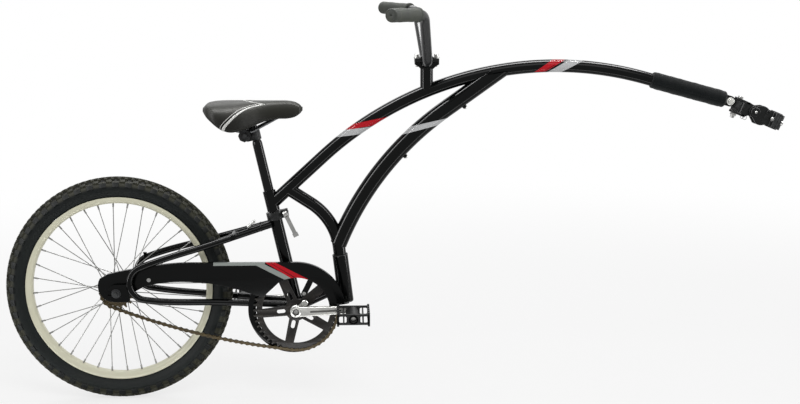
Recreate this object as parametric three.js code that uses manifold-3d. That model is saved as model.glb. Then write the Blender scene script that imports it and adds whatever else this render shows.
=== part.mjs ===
// Trailer bike: a child's rear half-bicycle that hooks on to a leading bicycle's seat post.
// Millimetres, +X forward, +Y to the left, +Z up. The origin is the centre of the hitch's
// seat post bore, where the leading bicycle holds the part.
import * as THREE from 'three';
import { mergeVertices } from 'three/addons/utils/BufferGeometryUtils.js';
import Module from 'manifold-3d';

const wasm = await Module();
wasm.setup();

// Fits shared by the whole part
const gap = 0.3;
const runningGap = 0.6;
const overrun = 4;
const half = 0.5;
const turn = 2 * Math.PI;
const radians = THREE.MathUtils.degToRad;

// Main places, seen from the side
const boreHeight = 627;
const axleSetback = 1477;
const bracketAhead = 397.5;
const bracketHeight = 209.5;
const seatTilt = radians(12.7);
const foldTilt = radians(6.9);
const foldFootAhead = 111.7;
const foldFootRise = 9.7;

// Hitch: seat post clamp, coupling fork, knuckle
const hitchSlope = radians(23);
const pitchSetback = 113;
const yawAhead = 22;
const yawDrop = 3;
const clampBore = 28.6;
const linerWall = 1.3;
const linerLength = 38;
const linerSlot = 4;
const clampHeight = 34;
const clampWidth = 62;
const clampSpine = 34;
const clampFlange = 9;
const clampSplit = 1;
const clampCapDepth = 17;
const clampBodyDepth = 31;
const clampPocket = 9;
const clampPocketDepth = 4;
const clampShoulderRadius = 22;
const clampShoulderSetback = 35;
const clampShoulderDrop = 2;
const clampBoltSpread = 24;
const clampBoltShank = 6;
const clampBoltHead = 10.5;
const clampBoltHeadHeight = 5;
const couplingPinSetback = 51.5;
const couplingPinShank = 9;
const couplingPinHead = 21;
const couplingPinHeadHeight = 5;
const couplingNut = 11;
const couplingNutHeight = 4;
const couplingEarRadius = 13.5;
const couplingEarThickness = 6;
const setScrewSetback = 24.5;
const setScrewRise = 11;
const setScrewHead = 8;
const setScrewStand = 3;
const tongueWidth = 20;
const forkWebBack = 13;
const forkWebDepth = 13;
const forkEarRadius = 12;
const forkEarThickness = 5.5;
const yawBoltShank = 9.6;
const yawBoltHead = 13;
const yawBoltHeadHeight = 4.5;
const yawNut = 15;
const yawNutHeight = 5;
const yawBoltEnd = 6;
const knuckleBarrel = 22;
const knuckleBarrelHeight = 24;
const knuckleTongueWidth = 16;
const knuckleTongueHeight = 18;
const pitchBoltShank = 9.6;
const pitchWasher = 17;
const pitchWasherThickness = 1.6;
const pitchBoltHead = 12;
const pitchBoltHeadHeight = 5;
const lugEarRadius = 12;
const lugEarThickness = 5;
const lugNeck = 15;

// Front frame tubes
const frameTube = 28.6;
const archRadius = 765;
const archFootBelow = 7.5;
const archRearSlope = radians(42.5);
const archFrontSlope = radians(15.2);
const downTube = 38.1;
const downTubeBend = 691.5;
const downTubeFootAbove = 26;
const downTubeFootSlope = radians(68);
const downTubeSlope = radians(35.5);
const downTubeEndBelow = 5;
const upperBossShare = 0.265;
const lowerBossTurn = radians(21.1);
const bossDiameter = 10;
const bossReach = 6;
const bossSink = 2;
const bossScrew = 4;
const bossScrewHead = 7;
const bossScrewHeadHeight = 2.6;
const braceBendRadius = 140;
const braceBendAbove = 19.4;
const braceMeetAhead = 49;
const braceBendFitShare = 0.9;
const claspLength = 46;
const claspWall = 2.9;
const claspAbove = 3;
const claspRelief = 13.5;

// Soft sleeve over the front of the arch
const padLength = 177.7;
const padThickness = 4.7;
const padSteps = 2;

// Stem and handlebar
const stemSetback = 785.5;
const stemTube = 28.6;
const barRise = 65.4;
const barTube = 22.2;
const stemJaw = 54;
const stemJawWidth = 30;
const stemJawThickness = 8;
const stemCapCrown = 5;
const stemBoltSpread = 21.5;
const stemBoltShank = 6;
const stemBoltHead = 10;
const stemBoltHeadHeight = 9;
const stemBoltReach = 18;
const barFoot = 37;
const barElbowOut = 140;
const barElbowBack = 14;
const barElbowRise = 108;
const barSweep = radians(31);
const barEndRun = 142;
const barEndRise = 3;
const barFootBend = 45;
const barElbowBend = 36;
const gripLength = 118;
const gripDiameter = 29;
const gripFlange = 32;
const gripFlangeLength = 6;
const gripEndWall = 4;
const gripEndHole = 3;
const gripRibs = 3;
const gripRibDepth = 0.7;

// Rear frame tubes
const seatTubeLength = 222;
const seatTubeBore = 23.4;
const seatTubeSolidFoot = 32;
const bracketShell = 40;
const bracketShellWidth = 68;
const bracketShellWall = 2.8;
const sleeveDiameter = 34.8;
const sleeveWall = 1.6;
const sleeveLength = 106;
const bushingFlange = 2.5;
const foldBoltHead = 15;
const foldBoltHeadHeight = 5;
const foldBoltShank = 8;
const foldBoltReach = 24;
const foldWasher = 33;
const foldWasherThickness = 2;
const linkMeetAbove = 40;
const stayTube = 15;
const stayLoopRadius = 38;
const stayLoopAhead = 68;
const stayLoopRise = 23;
const stayLoopOut = 62.5;
const seatstayTopBelow = 24.7;
const chainstayDrop = radians(4.2);
const tyreClearOut = 38.5;
const seatstayTyreCover = 39;
const chainstayTyreCover = 22;
const chainstayPastTyre = 38;
const chainstayRingOut = 29.5;
const seatstayEndOut = 10;
const chainstayEndOut = 22;
const dropoutWidth = 110;
const dropoutThickness = 5;
const dropoutRadius = 20;
const dropoutSlotDepth = 12;
const bridgeTube = 12;
const bridgeTyreGap = 30.2;
const bridgeReach = 28;
const bridgeBoss = 9;
const bridgeBossReach = 22;

// Seat post collar and its quick release
const collarHeight = 18;
const collarWall = 4;
const collarSlot = 3;
const collarEar = 6;
const collarEarReach = 13;
const skewerAhead = 25;
const skewerDiameter = 5.5;
const skewerNut = 12;
const skewerNutLength = 7;
const skewerStub = 3;
const leverHead = 15;
const leverHeadWidth = 9;
const leverLength = 56;
const leverBlade = 4;
const leverTipWidth = 12;
const leverTipLength = 9;
const leverSlope = radians(25.5);

// Drivetrain
const chainPitch = 12.7;
const chainLine = 45;
const ringTeeth = 46;
const cogTeeth = 18;
const toothRise = 3.2;
const toothRoot = 4.2;
const toothTipShare = 0.1;
const toothRootShare = 0.27;
const ringThickness = 3;
const cogThickness = 3;
const ringArms = 5;
const ringArmWidth = 20;
const ringArmTurn = radians(41.5);
const ringHub = 44;
const ringInner = 152;
const ringSlotRadius = 34;
const ringSlotLength = 19;
const ringSlotWidth = 8.5;
const windowCorner = 7;
const chainPlate = 1.2;
const chainPlateHeight = 8.2;
const chainInnerWidth = 3.6;
const chainRoller = 7.6;
const ringSteps = 16;
const windowSteps = 5;
const hubSteps = 3;
const slotSteps = 2;
const cogSteps = 7;
const rollerSides = 4;
const chainSag = 13;
const chainSagSteps = 6;
const crankLength = 127;
const crankTurn = radians(2);
const crankBoss = 27;
const crankBossWidth = 17;
const crankArmWidth = 16;
const crankArmThickness = 11;
const crankArmOut = 66;
const crankDriveRadius = 26;
const crankDriveBoss = 14;
const crankDrivePin = 8;
const crankRecess = 17;
const crankRecessDepth = 5;
const spindleDiameter = 16;
const spindleEnd = 11;
const cartridgeBore = 17.2;
const cartridgeFlange = 42;
const cartridgeFlangeWidth = 4;
const pedalSpindle = 11;
const pedalSpindleCollar = 14;
const pedalSpindleCollarLength = 5;
const pedalWidth = 84;
const pedalLength = 72;
const pedalThickness = 24;
const pedalBore = 12.2;
const pedalCage = 5;
const pedalBarrel = 22;
const pedalTeeth = 5;
const pedalToothHeight = 3;

// Chain guard, outlines as places from the bottom bracket and the wheel axle
const guardOut = 52.2;
const guardThickness = 1.3;
const guardLip = 9;
const guardLipThickness = 1.4;
const guardBandOuter = 110;
const guardBandInner = 75;
const guardBandEnd = radians(7);
const guardBandInnerTurn = radians(120);
const guardRise = 110.5;
const guardTopRearAhead = 124;
const guardTopRearRise = 65;
const guardTailAhead = 23;
const guardTailRise = 51;
const guardTailTopBehind = 20;
const guardTailTopRise = 42;
const guardTailRadius = 36;
const guardTailBehind = 5;
const guardTailRaise = 15;
const guardTailTurn = radians(150);
const guardTailFoot = radians(298);
const guardTailMeetAhead = 32;
const guardTailMeetDrop = 2;
const guardWaistAhead = 72;
const guardWaistRise = 16.5;
const guardBellyStartBehind = 180;
const guardBellyStartRise = 62;
const guardBellyBehind = 74;
const guardBellyRise = 31;
const guardBore = 17;
const guardScrewAhead = 72;
const guardScrewRise = 29;
const guardScrewHead = 9;
const guardScrewHeadHeight = 2.6;
const guardScrewShank = 4;
const guardStrapWidth = 14;
const guardStrapEye = 19;
const guardStrapThickness = 1.8;
const guardBossPlate = 5;
const innerGuardOut = 38;
const innerGuardThickness = 1.2;
const innerGuardInner = 77;
const innerGuardOuter = 108;
const innerGuardTaper = 93;
const innerGuardStart = radians(63.5);
const innerGuardWideTurn = radians(190);
const innerGuardEnd = radians(335);
const innerGuardTabWidth = 13;
const innerGuardScrewRadius = 40;
const innerGuardBossDiameter = 10;
const innerScrewHeadHeight = 2.2;

// Wheel
const tyreHeight = 45;
const tyreWidth = 50;
const tyreKnob = 3.6;
const tyreKnobs = 30;
// Tyre section from right to left: how far out, how far up from the rim, and which rings stand proud
const tyreSectionShares = [
  [-0.98, 0.42, 0], [-0.96, 0.74, 1], [-0.66, 0.93, 1], [-0.24, 1, -1],
  [0.24, 1, 1], [0.66, 0.93, -1], [0.96, 0.74, -1], [0.98, 0.42, 0],
];
const rimOuterRadius = 209;
const rimDepth = 18;
const rimWidth = 31;
const rimWall = 3;
const rimWell = 7;
const hubWidth = 64;
const hubShell = 30;
const hubFlange = 58;
const hubFlangeThickness = 4;
const hubNeck = 34;
const hubBore = 12.4;
const axleDiameter = 9.5;
const axleStickOut = 14;
const axleLocknut = 15;
const axleNut = 17;
const axleNutHeight = 7;
const axleWasher = 21;
const axleWasherThickness = 1.6;
const spokes = 36;
const spokeDiameter = 2;
const spokeCrossTurns = 2;
const spokeRimSpread = 6;
const spokeHoleInset = 4.5;
const spokeLayShare = 0.85;
const spokeStandOff = 1.2;
const nippleDiameter = 4;
const nippleLength = 9;
const nippleShy = 1.3;
const cogBore = 35;

// Seat post and saddle
const postDiameter = 22.2;
const postFoot = 130;
const postShoulder = 384;
const postNeck = 17;
const postNeckLength = 36;
const postTaper = 5;
const saddleClampDiameter = 28;
const saddleClampBehind = 20;
const saddleClampDrop = 9.5;
const saddleClampBolt = 8;
const saddleClampNut = 13;
const saddleClampNutHeight = 6;
const saddleClampDisc = 6;
const saddleClampTeeth = 8;
const saddleClampToothDepth = 1;
const saddleCollar = 24;
const saddleCollarHeight = 27;
const saddleCollarRise = 6;
const saddleCollarWeb = 18;
const railDiameter = 7;
const railSpread = 43;
const railLevel = 410;
const railClampRun = 34;
const railTailRise = 34;
const railTailRun = 44;
const railNoseRun = 78;
const railNoseRise = 41;
const railNoseSpread = 17;
const railBend = 14;
const railNoseBend = 4;
const railSides = 6;
const railSocket = 14;
const railSocketShare = 0.3;
const railSocketHeight = 24;
const railSocketLift = 1;
const railNoseSocketHeight = 11;
const saddleLength = 218;
const saddleTailBehind = 110;
const saddleWidth = 154;
const saddleTopHeight = 676;
const saddleSkirt = 61;
const saddlePadThickness = 14;
const saddlePadSide = 5;
const saddleBaseThickness = 3;
const saddleAcross = 12;
// Saddle stations from tail to nose: place, width, how far the top and the skirt's edge lie below the crown
const stationShares = [0, 0.03, 0.09, 0.17, 0.27, 0.37, 0.47, 0.57, 0.66, 0.76, 0.86, 0.94, 0.985, 1];
const widthShares = [0.45, 0.66, 0.87, 0.98, 1, 0.9, 0.71, 0.51, 0.38, 0.31, 0.28, 0.23, 0.14, 0.05];
const topDropShares = [0.22, 0.11, 0.04, 0.01, 0, 0, 0, 0, 0, 0, 0.01, 0.08, 0.2, 0.28];
const skirtShares = [0.32, 0.45, 0.64, 0.86, 1, 0.98, 0.88, 0.75, 0.65, 0.61, 0.6, 0.52, 0.4, 0.34];
const saddleNarrowShare = 0.12;
const saddleFlatShare = 0.85;
const saddleRoundShare = 0.6;

// How finely round things are cut
const tubeSides = 12;
const staySides = 10;
const smallSides = 8;
const boltSides = 6;
const wheelSides = 36;
const spokeSides = 4;
const bendStep = radians(20);
const wideBendStep = radians(6);
const ceilingSteps = 5;
const discSides = 16;

// Colours and finishes
const finish = (color, roughness, metalness) => new THREE.MeshStandardMaterial({ color, roughness, metalness });
const blackPaint = finish(0x0a0b0c, 0.18, 0.0);
const blackSatin = finish(0x151617, 0.45, 0.2);
const blackPlastic = finish(0x17181a, 0.6, 0.0);
const brightSteel = finish(0xc8c9c6, 0.22, 1.0);
const brushedAlloy = finish(0xb9bab6, 0.35, 1.0);
const darkSteel = finish(0x4a4b4a, 0.4, 0.9);
const chainBronze = finish(0x4c4430, 0.45, 0.8);
const rimPaint = finish(0xcfcdb4, 0.35, 0.3);
const tyreRubber = finish(0x1d1f1f, 0.85, 0.0);
const gripRubber = finish(0x55585a, 0.75, 0.0);
const saddleVinyl = finish(0x34342c, 0.5, 0.0);
const padFoam = finish(0x16191a, 0.8, 0.0);

const model = new THREE.Group();

// Places that the driving sizes give
const tyreRadius = rimOuterRadius + tyreHeight;
const quarter = Math.PI * half;
const axle = new THREE.Vector3(-axleSetback, 0, tyreRadius - boreHeight);
const bracket = new THREE.Vector3(axle.x + bracketAhead, 0, bracketHeight - boreHeight);
const seatUp = new THREE.Vector3(-Math.sin(seatTilt), 0, Math.cos(seatTilt));
const foldUp = new THREE.Vector3(-Math.sin(foldTilt), 0, Math.cos(foldTilt));
const foldFoot = new THREE.Vector3(bracket.x + foldFootAhead, 0, bracket.z + foldFootRise);
const headingAt = (slope) => new THREE.Vector3(Math.cos(slope), 0, Math.sin(slope));
const alongSeat = (distance) => bracket.clone().addScaledVector(seatUp, distance);
const alongFold = (distance) => foldFoot.clone().addScaledVector(foldUp, distance);
const pitchPlace = new THREE.Vector3(-pitchSetback * Math.cos(hitchSlope), 0, pitchSetback * Math.sin(hitchSlope));

// How far along a heading a line leaves a circle that lies in the side view
function reachCircle(from, heading, centre, radius) {
  const to = from.clone().sub(centre);
  const along = to.dot(heading);
  return Math.sqrt(along ** 2 - to.lengthSq() + radius ** 2) - along;
}

// A group that stands at a place, turned about the lateral axis
function standAt(place, turned, parent = model) {
  const group = new THREE.Group();
  group.position.copy(place);
  group.rotation.y = turned;
  parent.add(group);
  return group;
}

// One named piece, added to a group
function addPiece(parent, name, geometry, material) {
  const mesh = new THREE.Mesh(geometry, material);
  mesh.name = name;
  parent.add(mesh);
  return mesh;
}

// Closed geometry to a solid for joining and cutting, and back
function toSolid(geometry) {
  const bare = geometry.clone();
  bare.deleteAttribute('normal');
  bare.deleteAttribute('uv');
  const welded = mergeVertices(bare);
  const vertProperties = new Float32Array(welded.attributes.position.array);
  const triVerts = new Uint32Array(welded.index.array);
  return new wasm.Manifold(new wasm.Mesh({ numProp: 3, vertProperties, triVerts }));
}

function toGeometry(solid) {
  const mesh = solid.getMesh();
  const geometry = new THREE.BufferGeometry();
  geometry.setAttribute('position', new THREE.BufferAttribute(new Float32Array(mesh.vertProperties), 3));
  geometry.setIndex(new THREE.BufferAttribute(new Uint32Array(mesh.triVerts), 1));
  return geometry;
}

function join(...geometries) {
  return toGeometry(geometries.map(toSolid).reduce((sum, next) => sum.add(next)));
}

function cut(geometry, ...tools) {
  return toGeometry(tools.map(toSolid).reduce((rest, tool) => rest.subtract(tool), toSolid(geometry)));
}

// The biggest of the pieces that a cut leaves
function largestPart(geometry) {
  return toGeometry(toSolid(geometry).decompose().sort((a, b) => b.volume() - a.volume())[0]);
}

// A many-sided outline that stands for a circle
function roundOutline(radius, sides, from = 0, span = turn) {
  const last = span < turn ? sides : sides - 1;
  return Array.from({ length: last + 1 }, (unused, i) => {
    const angle = from + (span * i) / sides;
    return new THREE.Vector2(radius * Math.cos(angle), radius * Math.sin(angle));
  });
}

// A many-sided bore whose flats, not its corners, stand at the given diameter
function boreOf(diameter, sides = smallSides) {
  return diameter / Math.cos(Math.PI / sides);
}

// Cylinders along the three axes, centred
function rodY(diameter, length, sides = smallSides) {
  return new THREE.CylinderGeometry(diameter * half, diameter * half, length, sides);
}

function rodZ(diameter, length, sides = smallSides) {
  return rodY(diameter, length, sides).rotateX(Math.PI * half);
}

function rodX(diameter, length, sides = smallSides) {
  return rodY(diameter, length, sides).rotateZ(-Math.PI * half);
}

function boreY(diameter, length, sides = smallSides) {
  return rodY(boreOf(diameter, sides), length, sides);
}

function boreZ(diameter, length, sides = smallSides) {
  return rodZ(boreOf(diameter, sides), length, sides);
}

function boreX(diameter, length, sides = smallSides) {
  return rodX(boreOf(diameter, sides), length, sides);
}

function block(length, width, height) {
  return new THREE.BoxGeometry(length, width, height);
}

// A flat plate whose outline lies in the side view (x and z), from y = 0 to y = thickness
function sidePlate(outline, thickness, holes = []) {
  const shape = new THREE.Shape(outline);
  for (const hole of holes) shape.holes.push(new THREE.Path(hole));
  const plate = new THREE.ExtrudeGeometry(shape, { depth: thickness, bevelEnabled: false, steps: 1 });
  return plate.rotateX(Math.PI * half).translate(0, thickness, 0);
}

// A flat plate whose outline lies in the top view (x and y), from z = 0 to z = height
function topPlate(outline, height, holes = []) {
  const shape = new THREE.Shape(outline);
  for (const hole of holes) shape.holes.push(new THREE.Path(hole));
  return new THREE.ExtrudeGeometry(shape, { depth: height, bevelEnabled: false, steps: 1 });
}

// A turned piece about the lateral axis, from a closed profile of [radius, y] pairs
function turned(profile, sides) {
  return new THREE.LatheGeometry(profile.map(([radius, y]) => new THREE.Vector2(radius, y)), sides);
}

// The line of a bent tube: straight runs between corners, with a round bend at each inner corner.
// Its knots are the ends of the runs and even steps round each bend.
class BentLine extends THREE.Curve {
  constructor(corners, bends, step = bendStep) {
    super();
    this.knots = [corners[0].clone()];
    this.headings = [corners[1].clone().sub(corners[0]).normalize()];
    for (let i = 1; i < corners.length - 1; i++) this.addBend(corners[i - 1], corners[i], corners[i + 1], bends[i - 1], step);
    this.knots.push(corners.at(-1).clone());
    this.headings.push(corners.at(-1).clone().sub(corners.at(-2)).normalize());
  }

  addBend(before, corner, after, radius, step) {
    const into = corner.clone().sub(before).normalize();
    const out = after.clone().sub(corner).normalize();
    const angle = into.angleTo(out);
    const pole = into.clone().cross(out).normalize();
    const inward = pole.clone().cross(into);
    const start = corner.clone().addScaledVector(into, -radius * Math.tan(angle * half));
    const centre = start.clone().addScaledVector(inward, radius);
    const count = Math.max(2, Math.ceil(angle / step));
    for (let k = 0; k <= count; k++) {
      const swung = (angle * k) / count;
      this.knots.push(start.clone().sub(centre).applyAxisAngle(pole, swung).add(centre));
      this.headings.push(into.clone().applyAxisAngle(pole, swung));
    }
  }

  get steps() {
    return this.knots.length - 1;
  }

  getPoint(t, target = new THREE.Vector3()) {
    const at = Math.min(this.steps, Math.max(0, t * this.steps));
    const from = Math.min(this.steps - 1, Math.floor(at));
    return target.lerpVectors(this.knots[from], this.knots[from + 1], at - from);
  }

  getPointAt(u, target) {
    return this.getPoint(u, target);
  }

  getTangentAt(u, target = new THREE.Vector3()) {
    return target.copy(this.headings[Math.round(u * this.steps)]);
  }
}

// A line through given knots, heading at each the mean way of its two runs
class KnottedLine extends BentLine {
  constructor(points) {
    super([points[0], points[1]], []);
    this.knots = points;
    this.headings = points.map((point, i) => {
      const before = points[Math.max(0, i - 1)];
      const after = points[Math.min(points.length - 1, i + 1)];
      const into = point.clone().sub(before).normalize();
      const out = after.clone().sub(point).normalize();
      return into.add(out).normalize();
    });
  }
}

function bentTube(line, diameter, sides = tubeSides) {
  const shape = new THREE.Shape(roundOutline(diameter * half, sides));
  return new THREE.ExtrudeGeometry(shape, { steps: line.steps, extrudePath: line, bevelEnabled: false });
}

function straightTube(from, to, diameter, sides = tubeSides) {
  return bentTube(new BentLine([from, to], []), diameter, sides);
}

// A ring or sleeve along the lateral axis or, turned, along any other
function sleeve(outer, inner, length, sides = tubeSides) {
  const ends = length * half;
  const bore = boreOf(inner, sides) * half;
  return turned([[bore, -ends], [outer * half, -ends], [outer * half, ends], [bore, ends], [bore, -ends]], sides);
}

// Hitch, in its own frame: x along the hitch line, z along the seat post bore
const hitch = standAt(new THREE.Vector3(), hitchSlope);
const yawSetback = pitchSetback - yawAhead;
const pinholeClear = 2 * gap;

function clampHalf(depth, facing) {
  const outline = [
    [clampSplit * half, clampWidth * half], [clampFlange, clampWidth * half], [clampFlange, clampSpine * half],
    [depth - clampFlange * half, clampSpine * half], [depth, clampSpine * half - clampFlange * half],
  ];
  const mirrored = outline.map(([x, y]) => [x, -y]).reverse();
  const points = [...outline, ...mirrored].map(([x, y]) => new THREE.Vector2(x * facing, y));
  const plate = topPlate(points, clampHeight).translate(0, 0, -clampHeight * half);
  const bolts = [-1, 1].map((side) => boreX(clampBoltShank + pinholeClear, clampWidth)
    .translate(0, side * clampBoltSpread, 0));
  return cut(plate, rodZ(clampBore, clampHeight + overrun, discSides), ...bolts);
}

const couplingEars = [-1, 1].map((side) => {
  const reach = couplingPinSetback - clampBodyDepth + overrun;
  const round = rodY(2 * couplingEarRadius, couplingEarThickness, discSides);
  const arm = block(reach, couplingEarThickness, 2 * couplingEarRadius).translate(reach * half, 0, 0);
  const out = tongueWidth * half + gap + couplingEarThickness * half;
  return join(round, arm).translate(-couplingPinSetback, side * out, 0);
});
// Rounded cheeks join the ears to the body, with a slot between them for the fork's tongue
const cheeksWidth = tongueWidth + 2 * (gap + couplingEarThickness);
const tongueSlot = block(couplingPinSetback, tongueWidth + 2 * gap, clampWidth)
  .translate(-clampBodyDepth - couplingPinSetback * half, 0, 0);
const cheeks = cut(rodY(2 * clampShoulderRadius, cheeksWidth, discSides)
  .translate(-clampShoulderSetback, 0, -clampShoulderDrop), tongueSlot);
const clampBoreCutter = rodZ(clampBore, 2 * clampHeight, discSides);
const setScrew = rodY(setScrewHead, clampSpine + 2 * setScrewStand, boltSides)
  .translate(-setScrewSetback, 0, setScrewRise);
const couplingHole = boreY(couplingPinShank + pinholeClear, clampWidth).translate(-couplingPinSetback, 0, 0);
addPiece(hitch, 'seatpost_clamp_body',
  cut(join(clampHalf(clampBodyDepth, -1), ...couplingEars, cheeks, setScrew), couplingHole, clampBoreCutter), blackSatin);

const pocketRows = [-1, 1].flatMap((side) => [-1, 1].map((level) => block(clampPocket, clampPocketDepth, clampPocket)
  .translate(clampCapDepth - clampPocket, side * clampSpine * half, level * clampHeight / 4)));
addPiece(hitch, 'seatpost_clamp_cap', cut(clampHalf(clampCapDepth, 1), ...pocketRows), blackSatin);

const linerOuter = clampBore - 2 * gap;
const linerRing = sleeve(linerOuter, linerOuter - 2 * linerWall, linerLength, discSides).rotateX(Math.PI * half);
const linerCut = block(clampBore, linerSlot, linerLength + overrun).translate(-clampBore * half, 0, 0);
addPiece(hitch, 'clamp_liner', cut(linerRing, linerCut), blackPlastic);

// Each clamp bolt runs fore and aft, with its head on the cap and its nut on the body
for (const [name, side] of [['right', -1], ['left', 1]]) {
  const seat = clampFlange + gap;
  const shank = rodX(clampBoltShank, 2 * seat + clampBoltHeadHeight);
  const head = rodX(clampBoltHead, clampBoltHeadHeight).translate(seat + clampBoltHeadHeight * half, 0, 0);
  const nut = rodX(clampBoltHead, clampBoltHeadHeight, boltSides).translate(-seat - clampBoltHeadHeight * half, 0, 0);
  addPiece(hitch, `clamp_bolt_${name}`, join(shank, head, nut), darkSteel).position.y = side * clampBoltSpread;
}

// The coupling fork: a tongue between the clamp's ears, a web, and two ears round the knuckle
const forkOpening = knuckleBarrelHeight + 2 * gap;
const forkHeight = forkOpening + 2 * forkEarThickness;
const forkGroup = standAt(new THREE.Vector3(-yawSetback, 0, -yawDrop), 0, hitch);
const webBlock = block(forkWebDepth, tongueWidth, forkHeight).translate(forkWebBack + forkWebDepth * half, 0, 0);
const tongueEnd = yawSetback - clampBodyDepth - gap - runningGap;
const tongueStart = forkWebBack + forkWebDepth - overrun;
const tongueBlock = block(tongueEnd - tongueStart, tongueWidth, 2 * couplingEarRadius)
  .translate((tongueEnd + tongueStart) * half, 0, yawDrop);
const forkEars = [-1, 1].map((level) => {
  const round = rodZ(2 * forkEarRadius, forkEarThickness, discSides);
  const arm = block(forkWebBack + overrun, tongueWidth, forkEarThickness).translate((forkWebBack + overrun) * half, 0, 0);
  return join(round, arm).translate(0, 0, level * (forkOpening + forkEarThickness) * half);
});
const toFork = (tool) => tool.clone().translate(yawSetback, 0, yawDrop);
addPiece(forkGroup, 'hitch_fork', cut(join(webBlock, tongueBlock, ...forkEars),
  boreZ(yawBoltShank + pinholeClear, forkHeight + overrun), toFork(couplingHole)), blackSatin);

const earsOut = tongueWidth * half + gap + couplingEarThickness;
addPiece(hitch, 'coupling_pin', join(
  rodY(couplingPinShank, 2 * (earsOut + gap) + overrun),
  rodY(couplingPinHead, couplingPinHeadHeight, discSides).translate(0, -earsOut - gap - couplingPinHeadHeight * half, 0),
  rodY(couplingNut, couplingNutHeight, boltSides)
    .translate(0, -earsOut - gap - couplingPinHeadHeight - couplingNutHeight * half + gap, 0),
  rodY(couplingPinHead, couplingPinHeadHeight, discSides).translate(0, earsOut + gap + couplingPinHeadHeight * half, 0),
), blackSatin).position.x = -couplingPinSetback;

// Yaw bolt, upright through the fork and the knuckle, nut below
addPiece(forkGroup, 'yaw_bolt', join(
  rodZ(yawBoltShank, forkHeight + 2 * gap + yawBoltHeadHeight + yawBoltEnd).translate(0, 0, -yawBoltEnd * half),
  rodZ(yawBoltHead, yawBoltHeadHeight, boltSides).translate(0, 0, forkHeight * half + gap + yawBoltHeadHeight * half),
  rodZ(yawNut, yawNutHeight, boltSides).translate(0, 0, -forkHeight * half - gap - yawNutHeight * half),
), brightSteel);

// Knuckle: an upright barrel on the yaw bolt and a tongue on the pitch bolt
addPiece(forkGroup, 'knuckle', cut(
  join(
    rodZ(knuckleBarrel, knuckleBarrelHeight, discSides),
    block(yawAhead, knuckleTongueWidth, knuckleTongueHeight).translate(-yawAhead * half, 0, yawDrop),
    rodY(knuckleTongueHeight, knuckleTongueWidth, discSides).translate(-yawAhead, 0, yawDrop),
  ),
  boreZ(yawBoltShank + pinholeClear, knuckleBarrelHeight + overrun),
  boreY(pitchBoltShank + pinholeClear, knuckleTongueWidth + overrun).translate(-yawAhead, 0, yawDrop),
), blackSatin);

// Arch: a straight rear run, a long bend and a straight front run that ends in the hitch lug
const rearHeading = headingAt(archRearSlope);
const frontHeading = headingAt(-archFrontSlope);
const claspMiddle = seatTubeLength + claspAbove + claspLength * half;
const archFoot = alongSeat(claspMiddle - archFootBelow);
const lugStart = pitchPlace.clone().addScaledVector(frontHeading, -lugEarRadius - overrun * half);
// The two straight runs meet at the corner that the long bend rounds off
const cornerRun = lugStart.clone().sub(archFoot);
const frontCross = (cornerRun.x * frontHeading.z - cornerRun.z * frontHeading.x)
  / (rearHeading.x * frontHeading.z - rearHeading.z * frontHeading.x);
const archCorner = archFoot.clone().addScaledVector(rearHeading, frontCross);
const archCut = archRadius * Math.tan((archRearSlope + archFrontSlope) * half);
const archCentre = archCorner.clone().addScaledVector(rearHeading, -archCut)
  .addScaledVector(headingAt(archRearSlope - quarter), archRadius);
const archLine = new BentLine([archFoot, archCorner, lugStart], [archRadius], wideBendStep);
// A place on the arch's centre line: on the bend by its setback, or by its distance back from the front end
const onBend = (x) => new THREE.Vector3(x, 0, archCentre.z + Math.sqrt(archRadius ** 2 - (x - archCentre.x) ** 2));
const frontRun = archCorner.distanceTo(lugStart) - archCut;
function backAlongArch(distance) {
  if (distance <= frontRun) return lugStart.clone().addScaledVector(frontHeading, -distance);
  const angle = quarter - archFrontSlope + (distance - frontRun) / archRadius;
  return archCentre.clone().addScaledVector(headingAt(angle), archRadius);
}
const archTube = bentTube(archLine, frameTube);
const archSkin = bentTube(archLine, frameTube + 2 * gap);

// Clasp on the seat post: a half-round shell on the drive side, open to the other side
const seatFrame = (geometry, distance) => geometry.rotateY(-seatTilt).translate(...alongSeat(distance).toArray());
const claspOuter = postDiameter + 2 * gap + 2 * claspWall;
const claspBore = seatFrame(rodZ(claspOuter - claspWall, 2 * claspLength, tubeSides), claspMiddle);
const swingRoom = seatFrame(
  block(2 * claspRelief, frameTube, 2 * claspLength).translate(0, frameTube * half, 0), claspMiddle);

// Lug: two ears round the pitch bolt, welded to the arch's front end
const lugFrame = (geometry) => geometry.rotateY(archFrontSlope).translate(...pitchPlace.toArray());
const lugEarOut = knuckleTongueWidth * half + gap + lugEarThickness;
const lugEars = [-1, 1].map((side) => {
  const round = rodY(2 * lugEarRadius, lugEarThickness, discSides);
  const arm = block(lugNeck, lugEarThickness, 2 * lugEarRadius).translate(-lugNeck * half, 0, 0);
  return lugFrame(join(round, arm).translate(0, side * (lugEarOut - lugEarThickness * half), 0));
});
const lugHole = lugFrame(boreY(pitchBoltShank + pinholeClear, frameTube + overrun));
const claspShell = [
  ...roundOutline(claspOuter * half, tubeSides, Math.PI, Math.PI),
  ...roundOutline(boreOf(postDiameter + 2 * gap, 2 * tubeSides) * half, tubeSides, Math.PI, Math.PI).reverse(),
];
const clasp = seatFrame(topPlate(claspShell, claspLength).translate(0, 0, -claspLength * half), claspMiddle);
const archBody = cut(join(archTube, ...lugEars), claspBore, swingRoom, lugHole);
addPiece(model, 'arch_tube', join(archBody, clasp), blackPaint);

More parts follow.
